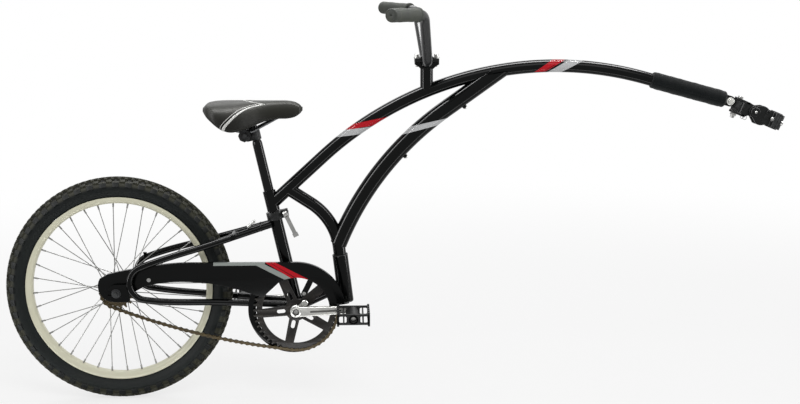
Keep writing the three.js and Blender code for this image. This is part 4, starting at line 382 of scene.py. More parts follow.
def surface_grain():
    """Node group: fine and broad noise in the object's own space as a colour, a roughness and a height.

    Colour goes from Colour to Marked where the broad noise is high, Roughness is Rough plus Spread times the
    fine noise about its middle, and Height is the fine noise."""
    grey = (0.5, 0.5, 0.5, 1)
    group, given, result = node_group(
        "surface_grain", (("Colour", grey), ("Marked", grey), ("Marks", 0.3), ("Fine Scale", 900.0),
                          ("Broad Scale", 14.0), ("Rough", 0.4), ("Spread", 0.1)),
        (("Colour", "NodeSocketColor"), ("Roughness", "NodeSocketFloat"), ("Height", "NodeSocketFloat")))
    spot = node(group, "ShaderNodeTexCoord").outputs["Object"]
    fine = node(group, "ShaderNodeTexNoise", {"Vector": spot, "Scale": given["Fine Scale"], "Detail": 3.0})
    broad = node(group, "ShaderNodeTexNoise", {"Vector": spot, "Scale": given["Broad Scale"], "Detail": 5.0,
                                               "Roughness": 0.65})
    share = worked(group, "MULTIPLY", ranged(group, broad.outputs[0], 0.42, 0.72), given["Marks"])
    swing = worked(group, "SUBTRACT", fine.outputs[0], 0.5)
    rough = worked(group, "MULTIPLY_ADD", swing, given["Spread"], given["Rough"])
    group.links.new(blended(group, share, given["Colour"], given["Marked"]), result["Colour"])
    group.links.new(rough, result["Roughness"])
    group.links.new(fine.outputs[0], result["Height"])
    return group


def rubbed_edges():
    """Node group: a mask of worn edges, where the surface is pointed and a patchy noise lets wear through."""
    group, given, result = node_group("rubbed_edges", (("Wear", 0.5),), (("Mask", "NodeSocketFloat"),))
    spot = node(group, "ShaderNodeTexCoord").outputs["Object"]
    sharpness = node(group, "ShaderNodeNewGeometry").outputs["Pointiness"]
    patch = node(group, "ShaderNodeTexNoise", {"Vector": spot, "Scale": 120.0, "Detail": 4.0})
    both = worked(group, "MULTIPLY", ranged(group, sharpness, 0.52, 0.6),
                  ranged(group, patch.outputs[0], 0.35, 0.6))
    group.links.new(worked(group, "MULTIPLY", both, given["Wear"], use_clamp=True), result["Mask"])
    return group


grain_group = surface_grain()
edge_group = rubbed_edges()


def finish(name, colour, marked, rough, spread=0.1, marks=0.3, fine=900.0, broad=14.0, bump=0.1, depth=0.00005,
           metal=0.0, coat=0.0, specular=0.5, sheen=0.0, wear=0.0, bare=(150, 150, 148), pattern=None):
    """A surface made of the shared grain, worn edges and, where given, a painted pattern over its colour."""
    look = bpy.data.materials.new(name)
    look.use_nodes = True
    tree = look.node_tree
    shader = tree.nodes["Principled BSDF"]
    grain = node(tree, "ShaderNodeGroup", node_tree=grain_group)
    for label, value in (("Colour", linear(*colour)), ("Marked", linear(*marked)), ("Marks", marks),
                         ("Fine Scale", fine), ("Broad Scale", broad), ("Rough", rough), ("Spread", spread)):
        grain.inputs[label].default_value = value
    shown = grain.outputs["Colour"]
    if pattern:
        shown = pattern(tree, shown)
    if wear:
        rub = node(tree, "ShaderNodeGroup", node_tree=edge_group)
        rub.inputs["Wear"].default_value = wear
        shown = blended(tree, rub.outputs["Mask"], shown, linear(*bare))
    raised = node(tree, "ShaderNodeBump", {"Strength": bump, "Distance": depth,
                                           "Height": grain.outputs["Height"]})
    tree.links.new(shown, shader.inputs["Base Color"])
    tree.links.new(grain.outputs["Roughness"], shader.inputs["Roughness"])
    tree.links.new(raised.outputs[0], shader.inputs["Normal"])
    for label, value in (("Metallic", metal), ("Coat Weight", coat), ("Coat Roughness", 0.05),
                         ("Specular IOR Level", specular), ("Sheen Weight", sheen)):
        shader.inputs[label].default_value = value
    return look


satin_black = finish("satin_black", (17, 18, 18), (27, 28, 28), 0.36, 0.14, 0.35, bump=0.25, specular=0.14,
                     wear=0.35, bare=(96, 97, 98))
bolt_steel = finish("bolt_steel", (142, 142, 140), (96, 96, 94), 0.3, 0.16, 0.5, metal=1.0, broad=60.0)
dark_steel = finish("dark_steel", (58, 59, 60), (36, 36, 36), 0.36, 0.16, 0.4, metal=0.85, broad=60.0)
moulded_black = finish("moulded_black", (20, 21, 21), (30, 30, 30), 0.5, 0.1, 0.3, fine=1800.0, bump=0.35,
                       specular=0.16)


def clamp_half(depth, facing):
    """Outline of one half from its split face: flanges, spine with rounded back, and the half-round bore."""
    outer = [(clamp_split, clamp_width / 2), (clamp_flange, clamp_width / 2),
             (clamp_flange + 1.5, clamp_spine / 2), (depth, clamp_spine / 2)]
    outer = outer + [(x, -y) for x, y in reversed(outer)]
    shell = rounded(outer, [0, 3, 3, 6, 6, 3, 3, 0])
    reach = math.acos(clamp_split / clamp_bore)
    bore = ring_loop(clamp_bore, 28, -reach, 2 * reach)
    return np.concatenate([shell, bore]) * (facing, 1)


def quarter_cheek(start):
    """The clamp ear's rounded cheek, from a turn of start degrees on over 50 degrees."""
    return ring_loop(cheek_radius, 14, math.radians(start), math.radians(50), (-cheek_setback, -cheek_drop))


ear_outline = np.concatenate([
    ring_loop(coupling_ear, 20, math.radians(90), math.pi, (-pin_setback, 0)), quarter_cheek(-100),
    [(cheek_front, 1 - clamp_half_height), (cheek_front, clamp_half_height - 1)], quarter_cheek(50)])
pin_hole = ring_loop(pin_bore, 24, centre=(-pin_setback, 0))
clamp_parts = [plate([clamp_half(clamp_body_depth, -1)], hitch, -clamp_half_height, clamp_half_height,
                     casting_edge, 2)]
for low, high in ((cheek_low, cheek_high), (-cheek_high, -cheek_low)):
    clamp_parts.append(plate([ear_outline, pin_hole], hitch_side, low, high, casting_edge, 2))
cheek_screw = [(0, 0), (4, 0), (4, 3.4), (3.4, 4), (2.2, 4), (2.2, 2.2), (0, 2.2)]
for side in (-1, 1):
    screw = (place((-24.5, side * 16.0, 11.0), hitch), hitch_out, hitch_up, across * side)
    clamp_parts.append(turned(cheek_screw, screw, 24))
fitted("clamp_body", clamp_parts, satin_black, "seatpost_clamp", "black_satin", "seatpost_clamp_body")

cap_parts = [plate([clamp_half(clamp_cap_depth, 1)], hitch, -clamp_half_height, clamp_half_height,
                   casting_edge, 2)]
for side in (-1, 1):
    for level in (-8.5, 8.5):
        pad = (place((clamp_cap_depth - 8.0, side * clamp_spine / 2, level), hitch), hitch_out, hitch_up,
               across * side)
        cap_parts.append(prism(box_loop(10, 10, 2), pad, -1.0, 1.6))
        cap_parts.append(turned([(0, 1.4), (2.6, 1.4), (2.6, 2.4), (0, 2.4)], pad, 20))
fitted("clamp_cap", cap_parts, satin_black, "seatpost_clamp", "black_satin", "seatpost_clamp_cap")

# Clamp bolts: plated steel, run fore and aft through the flanges, with socket heads on the cap and hexagon
# nuts on the body. The plastic liner that they draw tight keeps its solid.
bolt_spread = 24.0
bolt_seat = 9.3
clamp_bolt_head = [(0, -bolt_seat), (3, -bolt_seat), (3, bolt_seat), (5.25, bolt_seat),
                   (5.25, bolt_seat + 4.4), (4.7, bolt_seat + 5), (2.6, bolt_seat + 5),
                   (2.5, bolt_seat + 2.2), (0, bolt_seat + 2.2)]
clamp_nut = [(0, -bolt_seat), (5.25, -bolt_seat, 1), (5.25, -bolt_seat - 4.4, 1),
             (4.6, -bolt_seat - 5, 0.2), (3, -bolt_seat - 5), (2.9, -bolt_seat - 6), (0, -bolt_seat - 6)]
for name, side in (("right", -1), ("left", 1)):
    line = (place((0, side * bolt_spread, 0), hitch), hitch_up, across, hitch_out)
    fitted(f"clamp_bolt_{name}_turned", [turned(clamp_bolt_head, line, 36), turned(clamp_nut, line, 36, 6)],
           bolt_steel, "seatpost_clamp", "dark_steel", f"clamp_bolt_{name}")
dress(moulded_black, "clamp_liner")

# Coupling fork: a black casting whose tongue is pinned between the clamp's ears and whose two flat ears hold
# the knuckle; a plain bolt with a nut goes down through all three.
fork_at = place((-91.0, 0, -3.0), hitch)
fork = (fork_at, hitch_out, across, hitch_up)
fork_side = (fork_at, hitch_out, hitch_up, across)
fork_ear = 12.0
fork_bore = 5.1
fork_inner, fork_outer = 12.3, 17.8
ear_loop = np.concatenate([ring_loop(fork_ear, 22, math.radians(90), math.pi),
                           [(16.0, -10.0), (24.0, -10.0), (24.0, 10.0), (16.0, 10.0)]])
web = rounded([(13, fork_outer), (13, -fork_outer), (22, -fork_outer), (30, -10.5), (53.0, -10.5),
               (58.5, -3.0), (58.5, 9.0), (53.0, 16.5), (30, 16.5), (22, fork_outer)],
              [1, 1, 6, 6, 5, 4, 4, 5, 6, 5])
fork_parts = [plate([ear_loop, ring_loop(fork_bore, 24)], fork, low, high, 0.8, 2)
              for low, high in ((fork_inner, fork_outer), (-fork_outer, -fork_inner))]
fork_parts.append(plate([web, ring_loop(fork_bore, 24, centre=(39.5, 3.0))], fork_side, -10.0, 10.0, 1.0, 2))
fitted("coupling_fork", fork_parts, satin_black, "seatpost_clamp", "black_satin", "hitch_fork")

# Coupling pin: a blackened steel bolt across the clamp's ears with a round head on the left and a flanged
# hexagon on the right, whose bright rivetted end shows in the middle.
pin_line = (place((-pin_setback, 0, 0), hitch), hitch_out, hitch_up, across)
ears_out = 16.6
pin_rows = [(0, -ears_out - 8.6), (2.0, -ears_out - 8.6), (2.4, -ears_out - 8.2), (5.0, -ears_out - 8.2, 1),
            (5.5, -ears_out - 7.4, 1), (5.5, -ears_out - 5, 1), (9.6, -ears_out - 5), (10.5, -ears_out - 4.1),
            (10.5, -ears_out), (4.5, -ears_out), (4.5, ears_out), (10.5, ears_out), (10.5, ears_out + 4.1),
            (9.6, ears_out + 5), (4.0, ears_out + 5), (3.6, ears_out + 3.4), (0, ears_out + 3.4)]
rivet_rows = [(0, -ears_out - 9.3), (2.4, -ears_out - 9.3), (3.0, -ears_out - 8.7), (3.0, -ears_out - 7.9),
              (0, -ears_out - 7.9)]
fitted("coupling_pin_turned", [turned(pin_rows, pin_line, 48, 6)], satin_black, "seatpost_clamp", "black_satin",
       "coupling_pin")
fitted("coupling_pin_rivet", [turned(rivet_rows, pin_line, 24)], bolt_steel, "seatpost_clamp", "bright_steel")


# Ring clips: two rings of thin bright wire on the knuckle's right side, that keep the coupling pin and the
# yaw bolt from backing out.
def looking(axis, origin=(0, 0, 0)):
    """A frame whose third axis is the given one."""
    third = np.asarray(axis, float) / np.linalg.norm(axis)
    rough = across if abs(third @ across) < 0.9 else upward
    first = np.cross(rough, third)
    first /= np.linalg.norm(first)
    return (np.asarray(origin, float), first, np.cross(third, first), third)


wire_half = 0.65
wire_section = ring_loop(wire_half, 8)
wire_section = np.concatenate([wire_section, wire_section[:1]])
fitted("ring_clips_wire", [turned([tuple(row) for row in wire_section + (reach, 0)],
                                  looking((0.1, 1, 0.2), ring_at), 32)
                           for ring_at, reach in (((-68.7, -8.5, 6.2), 4.3), ((-75.2, -8.5, 7.6), 3.3))],
       bolt_steel, "knuckle", "bright_steel")

# Yaw bolt: a plated bolt that stands upright through the fork's ears and the knuckle, with a hexagon head
# above and a nut below; the arm steers round it.
yaw_rows = [(0, -29.0), (3.6, -29.0), (4.8, -28.0), (4.8, -23.1), (7.0, -23.1, 1), (7.5, -22.4, 1),
            (7.5, -18.1, 1), (4.8, -18.1), (4.8, 18.1), (6.5, 18.1, 1), (6.5, 21.8, 1), (5.9, 22.6, 0.3),
            (0, 22.6)]
fitted("yaw_bolt_turned", [turned(yaw_rows, fork, 36, 6)], bolt_steel, "seatpost_clamp", "bright_steel",
       "yaw_bolt")

# Knuckle: a black die-cast block between the fork's ears. Its barrel turns on the yaw bolt, and its lug
# carries the arm's cross bolt.
cross_bore = 4.4
knuckle_barrel = [(4.9, -12), (10.4, -12), (11, -11.4), (11, 11.4), (10.4, 12), (4.9, 12), (4.9, -12)]
knuckle_lug = np.concatenate([ring_loop(9.0, 20, math.radians(90), math.pi, (-22.0, 3.0)),
                              [(-8.0, -6.0), (-8.0, 12.0)]])
knuckle_parts = [turned(knuckle_barrel, fork, 40),
                 plate([knuckle_lug, ring_loop(cross_bore, 20, centre=(-22.0, 3.0))], fork_side, -8.0, 8.0,
                       0.8, 2)]
fitted("knuckle_cast", knuckle_parts, satin_black, "knuckle", "black_satin", "knuckle")

# Arch: one long bent steel tube from the hitch lug back to the seat post, painted gloss black with plain red
# and silver stripes; the half-round clasp at its foot and the lug's two ears are welded on.
frame_tube = 14.3
arch_centre = np.array([-500.1, 0.0, -641.1])
arch_radius = 765.0
arch_foot = np.array([-1132.4, 0.0, -182.9])
arch_rear = np.array([-1016.9, 0.0, -77.1])
arch_front = np.array([-299.5, 0.0, 97.1])
lug_start = np.array([-117.5, 0.0, 47.8])
pitch_place = np.array([-104.017, 0.0, 44.153])
clasp_centre = np.array([-1134.0, 0.0, -175.6])
clasp_inner, clasp_outer, clasp_cope = 11.4, 14.3, 12.9
clasp_half_length = 23.0
swing_relief = 13.5
lug_ear, lug_back = 12.0, -15.0
lug_inner, lug_outer = 8.3, 13.3
end_rounding = 0.93
seat_lean = math.radians(12.7)
seat_up = np.array([-math.sin(seat_lean), 0.0, math.cos(seat_lean)])
seat_ahead = np.array([math.cos(seat_lean), 0.0, math.sin(seat_lean)])


def heading(degrees):
    """Unit vector in the side plane, so many degrees above straight ahead."""
    return np.array([math.cos(math.radians(degrees)), 0.0, math.sin(math.radians(degrees))])


def side_arc(centre, radius, start, end, count):
    """Points centre + radius (cos t, 0, sin t) in the side plane, t from start to end degrees."""
    turns = np.radians(np.linspace(start, end, count))
    return centre + radius * np.stack([np.cos(turns), 0 * turns, np.sin(turns)], axis=1)


def bearing(from_point, to_point):
    """Turn of one point seen from another, in degrees above straight ahead."""
    return math.degrees(math.atan2(to_point[2] - from_point[2], to_point[0] - from_point[0]))


def pole(point, count):
    """A grid row of equal points, which closes an end."""
    return np.repeat(np.asarray(point, float)[None, None], count, 1)


def tube(path, radius, steady=(0, 1, 0), around=40, ends=True):
    """A circle carried square to a path: point + radius (cos t side + sin t up), side being steady made square.

    A row of no radius closes each end."""
    path = np.asarray(path, float)
    run = np.gradient(path, axis=0)
    run /= np.linalg.norm(run, axis=1, keepdims=True)
    side = np.asarray(steady, float) - (run @ np.asarray(steady, float))[:, None] * run
    side /= np.linalg.norm(side, axis=1, keepdims=True)
    up = np.cross(run, side)
    turns = np.linspace(0, 2 * math.pi, around + 1)
    reach = np.broadcast_to(np.asarray(radius, float), (len(path),))[:, None, None]
    skin = path[:, None] + reach * (np.cos(turns)[:, None] * side[:, None]
                                    + np.sin(turns)[:, None] * up[:, None])
    if ends:
        skin = np.concatenate([pole(path[0], around + 1), skin, pole(path[-1], around + 1)])
    return skin


arch_path = np.concatenate([
    np.linspace(arch_foot, arch_rear, 6)[:-1],
    side_arc(arch_centre, arch_radius, bearing(arch_centre, arch_rear), bearing(arch_centre, arch_front), 72),
    np.linspace(arch_front, lug_start, 10)[1:]])
arch_skin = tube(arch_path, frame_tube, around=48, ends=False)
# The foot is coped to the seat post's clasp: each line of the skin stops where it meets the clasp's cylinder
# on the right, and where it meets an upright plane ahead of the post on the left, to let the arm swing away.
# It runs on by t, where |beside + t run beside| is the cylinder's radius, both taken square to the post
rear_run = heading(bearing(arch_foot, arch_rear))
from_clasp = arch_skin[0] - clasp_centre
beside = from_clasp - (from_clasp @ seat_up)[:, None] * seat_up
run_beside = rear_run - (rear_run @ seat_up) * seat_up
a, b, c = run_beside @ run_beside, beside @ run_beside, (beside * beside).sum(axis=1) - clasp_cope ** 2
to_clasp = (-b + np.sqrt(np.maximum(b * b - a * c, 0))) / a
to_plane = (swing_relief - from_clasp @ seat_ahead) / (rear_run @ seat_ahead)
on_left = arch_skin[0][:, 1] > 0.5
arch_skin[0] += np.where(on_left, np.maximum(to_plane, to_clasp), to_clasp)[:, None] * rear_run
front_cap = pole(lug_start, arch_skin.shape[1])
front_run = heading(bearing(arch_front, lug_start))
front_edge = front_cap + (arch_skin[-1:] - front_cap) * end_rounding
arch_skin = np.concatenate([pole(arch_skin[0].mean(axis=0), arch_skin.shape[1]), arch_skin,
                            front_edge + front_run, front_cap + front_run])
clasp_rows = [(clasp_inner, -clasp_half_length), (clasp_outer, -clasp_half_length),
              (clasp_outer, clasp_half_length), (clasp_inner, clasp_half_length),
              (clasp_inner, -clasp_half_length)]
clasp = turned(clasp_rows, (clasp_centre, seat_ahead, across, seat_up), 36, start=math.pi, span=math.pi)
clasp_ends = [np.repeat(clasp[:, end].mean(axis=0)[None], len(clasp), 0)[:, None] for end in (0, -1)]
clasp = np.concatenate([clasp_ends[0], clasp, clasp_ends[1]], axis=1)
lug_side = (pitch_place, front_run, np.cross(front_run, across), across)
lug_loop = np.concatenate([ring_loop(lug_ear, 20, math.radians(-90), math.pi),
                           [(lug_back, lug_ear), (lug_back, -lug_ear)]])
lug_parts = [plate([lug_loop, ring_loop(cross_bore, 20)], lug_side, low, high, 0.8, 2)
             for low, high in ((lug_inner, lug_outer), (-lug_outer, -lug_inner))]


def stripe_edges():
    """Node group: a painted band between two slanted edges, from numbers along and across a tube.

    Mask is 1 where Along lies between Start + Start Slope x Across and End + End Slope x Across, and where
    Across lies between Low and High; the edges are soft over a third of a millimetre."""
    group, given, result = node_group(
        "stripe_edges", [(label, 0.0) for label in ("Along", "Across", "Start", "Start Slope", "End",
                                                    "End Slope", "Low", "High")],
        (("Mask", "NodeSocketFloat"),))

    def slanted(edge):
        return worked(group, "MULTIPLY_ADD", given["Across"], given[f"{edge} Slope"], given[edge])

    def past(value, edge):
        return ranged(group, worked(group, "SUBTRACT", value, edge), -0.16, 0.16)

    mask = past(given["Along"], slanted("Start"))
    for value, edge in ((slanted("End"), given["Along"]), (given["Across"], given["Low"]),
                        (given["High"], given["Across"])):
        mask = worked(group, "MULTIPLY", mask, past(value, edge))
    group.links.new(mask, result["Mask"])
    return group


def side_place(tree, centre=(0, 0, 0)):
    """Distances from a centre in millimetres, as the sockets of ahead, across and up."""
    spot = node(tree, "ShaderNodeTexCoord").outputs["Object"]
    moved = node(tree, "ShaderNodeVectorMath", {0: spot, 1: tuple(-value * millimetre for value in centre)})
    scaled = node(tree, "ShaderNodeVectorMath", {0: moved.outputs[0], "Scale": 1 / millimetre},
                  operation="SCALE")
    return node(tree, "ShaderNodeSeparateXYZ", {0: scaled.outputs[0]}).outputs


def round_arc(tree, centre, radius):
    """Distances along and across an arc in the side plane, in millimetres, from straight above its centre."""
    parts = side_place(tree, centre)
    level = node(tree, "ShaderNodeCombineXYZ", {0: parts[0], 2: parts[2]})
    reach = node(tree, "ShaderNodeVectorMath", {0: level.outputs[0]}, operation="LENGTH")
    beyond = worked(tree, "SUBTRACT", reach.outputs["Value"], radius)
    return worked(tree, "MULTIPLY", worked(tree, "ARCTAN2", parts[0], parts[2]), radius), beyond


stripe_group = stripe_edges()


def banded(tree, shown, along, over, bands):
    """Bands laid over a colour: each is its own colour and the numbers of one stripe's edges."""
    for colour, *edges in bands:
        named = zip(("Start", "Start Slope", "End", "End Slope", "Low", "High"), edges)
        band = node(tree, "ShaderNodeGroup", {"Along": along, "Across": over, **dict(named)},
                    node_tree=stripe_group)
        shown = blended(tree, band.outputs["Mask"], shown, linear(*colour))
    return shown


def painted_stripes(bands, centre, radius):
    """A pattern of bands on a bent tube."""
    return lambda tree, shown: banded(tree, shown, *round_arc(tree, centre, radius), bands)


stripe_red = (186, 24, 36)
stripe_silver = (190, 191, 192)
paint_black = (5, 6, 6)
paint_settings = dict(marked=(8, 9, 10), rough=0.13, spread=0.0, marks=0.25, fine=40.0, bump=0.0, specular=0.1)
paint = finish("black_gloss_paint", paint_black, **paint_settings)
arch_bands = (
    (stripe_silver, -492.1, -1.74, -463.0, -1.95, -16.0, 14.5),
    (stripe_red, -463.0, -1.95, -431.0, -2.6, -16.0, 16.0),
    (paint_black, -463.8, -1.95, -461.4, -1.95, -16.0, 1.0),
    (stripe_red, -28.0, 1.55, -2.0, 1.7, -12.2, 20.0),
    (paint_black, -7.6, 1.62, -5.6, 1.65, -12.2, 3.0),
    (stripe_silver, 6.0, 1.7, 38.0, 1.7, -14.4, 20.0),
)
striped_paint = finish("black_gloss_paint_striped", paint_black,
                       pattern=painted_stripes(arch_bands, arch_centre, arch_radius), **paint_settings)
fitted("arch", [arch_skin, clasp, *lug_parts], striped_paint, "front_frame", "frame_paint", "arch_tube")

# Cross bolt of the lug: a bright plated steel bolt through the lug's two ears and the knuckle, with a washer
# and a hexagon on each side. The arm tilts on it.
cross_end = [(0, 13.6), (8.0, 13.6), (8.5, 13.9), (8.5, 14.9), (8.0, 15.2), (5.4, 15.2, 1), (6.0, 15.9, 1),
             (6.0, 19.2, 1), (5.2, 20.1, 0.3), (2.6, 20.1), (2.4, 19.4), (0, 19.4)]
cross_bolt = [turned([(radius, side * level, *flat) for radius, level, *flat in cross_end], lug_side, 36, 6)
              for side in (-1, 1)]
cross_bolt.append(turned([(0, -13.7), (4.0, -13.7), (4.0, 13.7), (0, 13.7)], lug_side, 24))
washer_bright = finish("washer_bright", (196, 196, 192), (120, 120, 116), 0.28, 0.14, 0.5, metal=1.0,
                       broad=90.0)
fitted("cross_bolt", cross_bolt, washer_bright, "front_frame", "bright_steel", "pitch_bolt")

# Down tube: the widest tube, from under the arch, bent down to the brace; coped to the arch and welded. Two
# threaded bosses stand on its underside, each with a plated socket screw.
down_tube = 19.05
down_centre = np.array([-343.0, 0.0, -535.8])
down_radius = 691.5
down_foot = np.array([-983.7, 0.0, -276.8])
down_bend_end = np.array([-744.6, 0.0, 27.1])
down_end = np.array([-622.6, 0.0, 114.1])
upper_boss_share, upper_boss_slope, lower_boss_slope = 0.265, 35.5, 46.9
least_sunk, weld_sunk = 5.0, 0.8


def weld(joint, axis, radius, bead=1.6, around=40):
    """A bead round a tube where it is welded: a ring of round section, half sunk into the tube."""
    turns = np.linspace(0, 2 * math.pi, 9)
    rows = [(radius - 0.4 + bead * math.cos(t), bead * math.sin(t)) for t in turns]
    return turned(rows, looking(axis, joint), around)


down_path = np.concatenate([
    side_arc(down_centre, down_radius, bearing(down_centre, down_foot), bearing(down_centre, down_bend_end),
             34),
    np.linspace(down_bend_end, down_end, 10)[1:]])
down_skin = tube(down_path, down_tube, around=52, ends=False)
down_run = heading(bearing(down_bend_end, down_end))
# Coped end: each line of the skin runs on until it is as far from the arch's centre as the arch's underside
under_arch = np.sqrt(np.maximum(frame_tube ** 2 - down_skin[-1][:, 1] ** 2, 0))
sunk = np.maximum(under_arch, least_sunk) - weld_sunk
from_centre = (down_skin[-2] - arch_centre) * (1, 0, 1)
b, c = from_centre @ down_run, (from_centre * from_centre).sum(axis=1) - (arch_radius - sunk) ** 2
down_skin[-1] = down_skin[-2] + (-b + np.sqrt(b * b - c))[:, None] * down_run
down_parts = [np.concatenate([pole(down_foot, down_skin.shape[1]), down_skin,
                              pole(down_skin[-1].mean(axis=0), down_skin.shape[1])])]
boss_rows = [(0, 12), (5, 12), (5, down_tube + 3.6), (4.6, down_tube + 4), (2.6, down_tube + 4),
             (2.4, down_tube + 1), (0, down_tube + 1)]
screw_seat = down_tube + 4.2
boss_screw_rows = [(0, 17), (2, 17), (2, screw_seat), (3.5, screw_seat), (3.5, screw_seat + 1.6),
                   (2.6, screw_seat + 2.5), (1.5, screw_seat + 2.6, 1), (1.5, screw_seat + 1, 1),
                   (0, screw_seat + 1)]
for name, spot, slope in (("upper", down_bend_end + upper_boss_share * (down_end - down_bend_end),
                           upper_boss_slope),
                          ("lower", down_centre + down_radius * heading(lower_boss_slope + 90),
                           lower_boss_slope)):
    under = -heading(slope + 90)
    boss = looking(under, spot)
    down_parts.append(turned(boss_rows, boss, 28))
    down_parts.append(weld(spot + under * (down_tube - 0.2), under, 5.2, 0.9, 24))
    fitted(f"boss_screw_{name}_turned", [turned(boss_screw_rows, boss, 24, 6)], bolt_steel, "front_frame",
           "bright_steel", f"boss_screw_{name}")
down_bands = ((stripe_silver, -497.9, -2.0, -471.7, -2.0, -30.0, 30.0),)
down_look = finish("black_gloss_paint_banded", paint_black,
                   pattern=painted_stripes(down_bands, down_centre, down_radius), **paint_settings)
fitted("down_tube_bent", down_parts, down_look, "front_frame", "frame_paint", "down_tube")

# Brace and pivot post: a steel tube welded under the arch's rear run, bent once and run straight down into
# the fold sleeve, where it is the post that the rear frame turns on.
brace_foot = np.array([-968.4, 0.0, -402.8])
brace_straight = np.array([-982.9, 0.0, -283.3])
brace_centre = np.array([-1121.9, 0.0, -300.1])
brace_bend = 140.0
brace_bend_end = np.array([-1045.4, 0.0, -182.8])
brace_end = np.array([-1094.6, 0.0, -150.9])
brace_under = 0.01
brace_path = np.concatenate([
    np.linspace(brace_foot, brace_straight, 5)[:-1],
    side_arc(brace_centre, brace_bend, bearing(brace_centre, brace_straight),
             bearing(brace_centre, brace_bend_end), 22),
    np.linspace(brace_bend_end, brace_end, 4)[1:]])
fitted("brace_bent", [tube(brace_path, frame_tube - brace_under)], paint, "front_frame", "frame_paint",
       "brace_tube")

# Fold bolt: under the sleeve, a broad washer and a hexagon head of dark steel hold the pivot post down. Its
# solid has them both, and keeps its shape.
dress(dark_steel, "fold_bolt")

# Soft sleeve round the front of the arch: black foam under stretched cloth, closed by a seam along its
# underside; slightly drawn in at both bound ends.
pad_start, pad_length = -5.0, 175.0
pad_radius, pad_bore = 19.2, 14.5
pad_rows, pad_columns = 72, 97
bound_depth, bound_reach = 0.20, 2.2
groove_depth, groove_place, groove_reach = 0.035, 9.0, 2.4
seam_depth, seam_turn, seam_reach = 0.05, 0.35, 0.05
wave_clear = 6.0
pad_slack = 0.985
backs = np.linspace(pad_start, pad_start + pad_length, pad_rows)
pad_path = lug_start - backs[:, None] * front_run
pad_skin = tube(pad_path, 1.0, around=pad_columns - 1, ends=False)
pad_share = (backs - pad_start) / pad_length
round_pad = np.linspace(0, 2 * math.pi, pad_columns)
edge_far = np.minimum(pad_share, 1 - pad_share) * pad_length
plump = (1 - bound_depth * np.exp(-edge_far / bound_reach)
         - groove_depth * np.exp(-((edge_far - groove_place) / groove_reach) ** 2))
# Three slow ripples in the cloth: one along and round it, one finer, one that winds
waves = (0.010 * np.sin(pad_share * 23 + 1.7)[:, None] * np.cos(round_pad * 2 + 0.6)[None]
         + 0.008 * np.sin(pad_share * 61 + 0.4)[:, None] * np.cos(round_pad * 3 - 1.1)[None]
         + 0.006 * np.sin(pad_share[:, None] * 37 + round_pad[None] * 5))
from_seam = np.mod(round_pad + seam_turn, 2 * math.pi) - math.pi
seam = -seam_depth * np.exp(-(from_seam / seam_reach) ** 2)
swell = pad_radius * (plump[:, None] * (pad_slack + waves * (edge_far[:, None] > wave_clear)) + seam[None])
pad_middle = pad_path[:, None]
pad_outer = pad_middle + (pad_skin - pad_middle) * swell[..., None]
pad_inner = pad_middle + (pad_skin - pad_middle) * pad_bore
woven = finish("padded_cloth", (9, 13, 14), (22, 26, 27), 0.85, 0.1, 0.5, fine=2600.0, broad=60.0, bump=0.5,
               depth=0.0003, specular=0.04, sheen=0.25)
hitch_sleeve = fitted("hitch_sleeve", [np.concatenate([pad_inner[:1], pad_outer, pad_inner[::-1]])], woven,
                      "front_frame", "pad_foam", "hitch_pad", sharp=60)


# Stem: a short upright tube welded on the arch, with a saddle-shaped jaw; the cap above it holds the bar with
# two plated socket screws.
def side_on(origin):
    """A frame seen from the right side: first axis ahead, second up, third across."""
    return (np.asarray(origin, float), ahead, upward, across)


def upright(origin):
    """A frame that stands level: first axis ahead, second across, third up."""
    return (np.asarray(origin, float), ahead, across, upward)


stem_foot = np.array([-785.5, 0.0, 68.7])
bar_place = np.array([-785.5, 0.0, 134.0])
jaw_reach, jaw_width, jaw_bore, jaw_gap = 27.0, 15.0, 11.4, 0.3
stem_screw_reach, stem_screw_level = 21.5, 8.6
lower_jaw = np.concatenate([[(jaw_reach, -jaw_gap), (jaw_reach, -5.5), (20.0, -9.5), (14.3, -15.0),
                             (-14.3, -15.0), (-20.0, -9.5), (-jaw_reach, -5.5), (-jaw_reach, -jaw_gap)],
                            ring_loop(jaw_bore, 20, math.pi + 0.02, math.pi - 0.04)])
upper_jaw = np.concatenate([ring_loop(jaw_bore, 20, 0.02, math.pi - 0.04)[::-1],
                            [(jaw_reach, jaw_gap), (jaw_reach, 7.4), (20.5, 8.3), (17.4, 8.3), (13.6, 11.5)],
                            ring_loop(16.1, 14, math.radians(50), math.radians(80)),
                            [(-13.6, 11.5), (-17.4, 8.3), (-20.5, 8.3), (-jaw_reach, 7.4),
                             (-jaw_reach, jaw_gap)]])
stem_path = np.linspace(stem_foot + upward, bar_place - upward * 13.0, 4)
fitted("stem_welded", [tube(stem_path, frame_tube),
                       plate([lower_jaw], side_on(bar_place), -jaw_width, jaw_width, 0.8, 2)],
       paint, "front_frame", "frame_paint", "stem")
fitted("stem_cap_cast", [plate([upper_jaw], side_on(bar_place), -jaw_width, jaw_width, 0.8, 2)], satin_black,
       "front_frame", "black_satin", "stem_cap")
stem_screw_rows = [(0, -20), (3, -20), (3, 0), (7.4, 0), (7.4, 1.2), (5.0, 1.2), (5.0, 8.4), (4.4, 9.0),
                   (2.5, 9.0, 1), (2.5, 5.0, 1), (0, 5.0)]
for name, side in (("front", 1), ("rear", -1)):
    screw = upright(bar_place + (side * stem_screw_reach, 0, stem_screw_level))
    fitted(f"stem_screw_{name}", [turned(stem_screw_rows, screw, 36, 6)], bolt_steel, "front_frame",
           "bright_steel", f"stem_bolt_{name}")


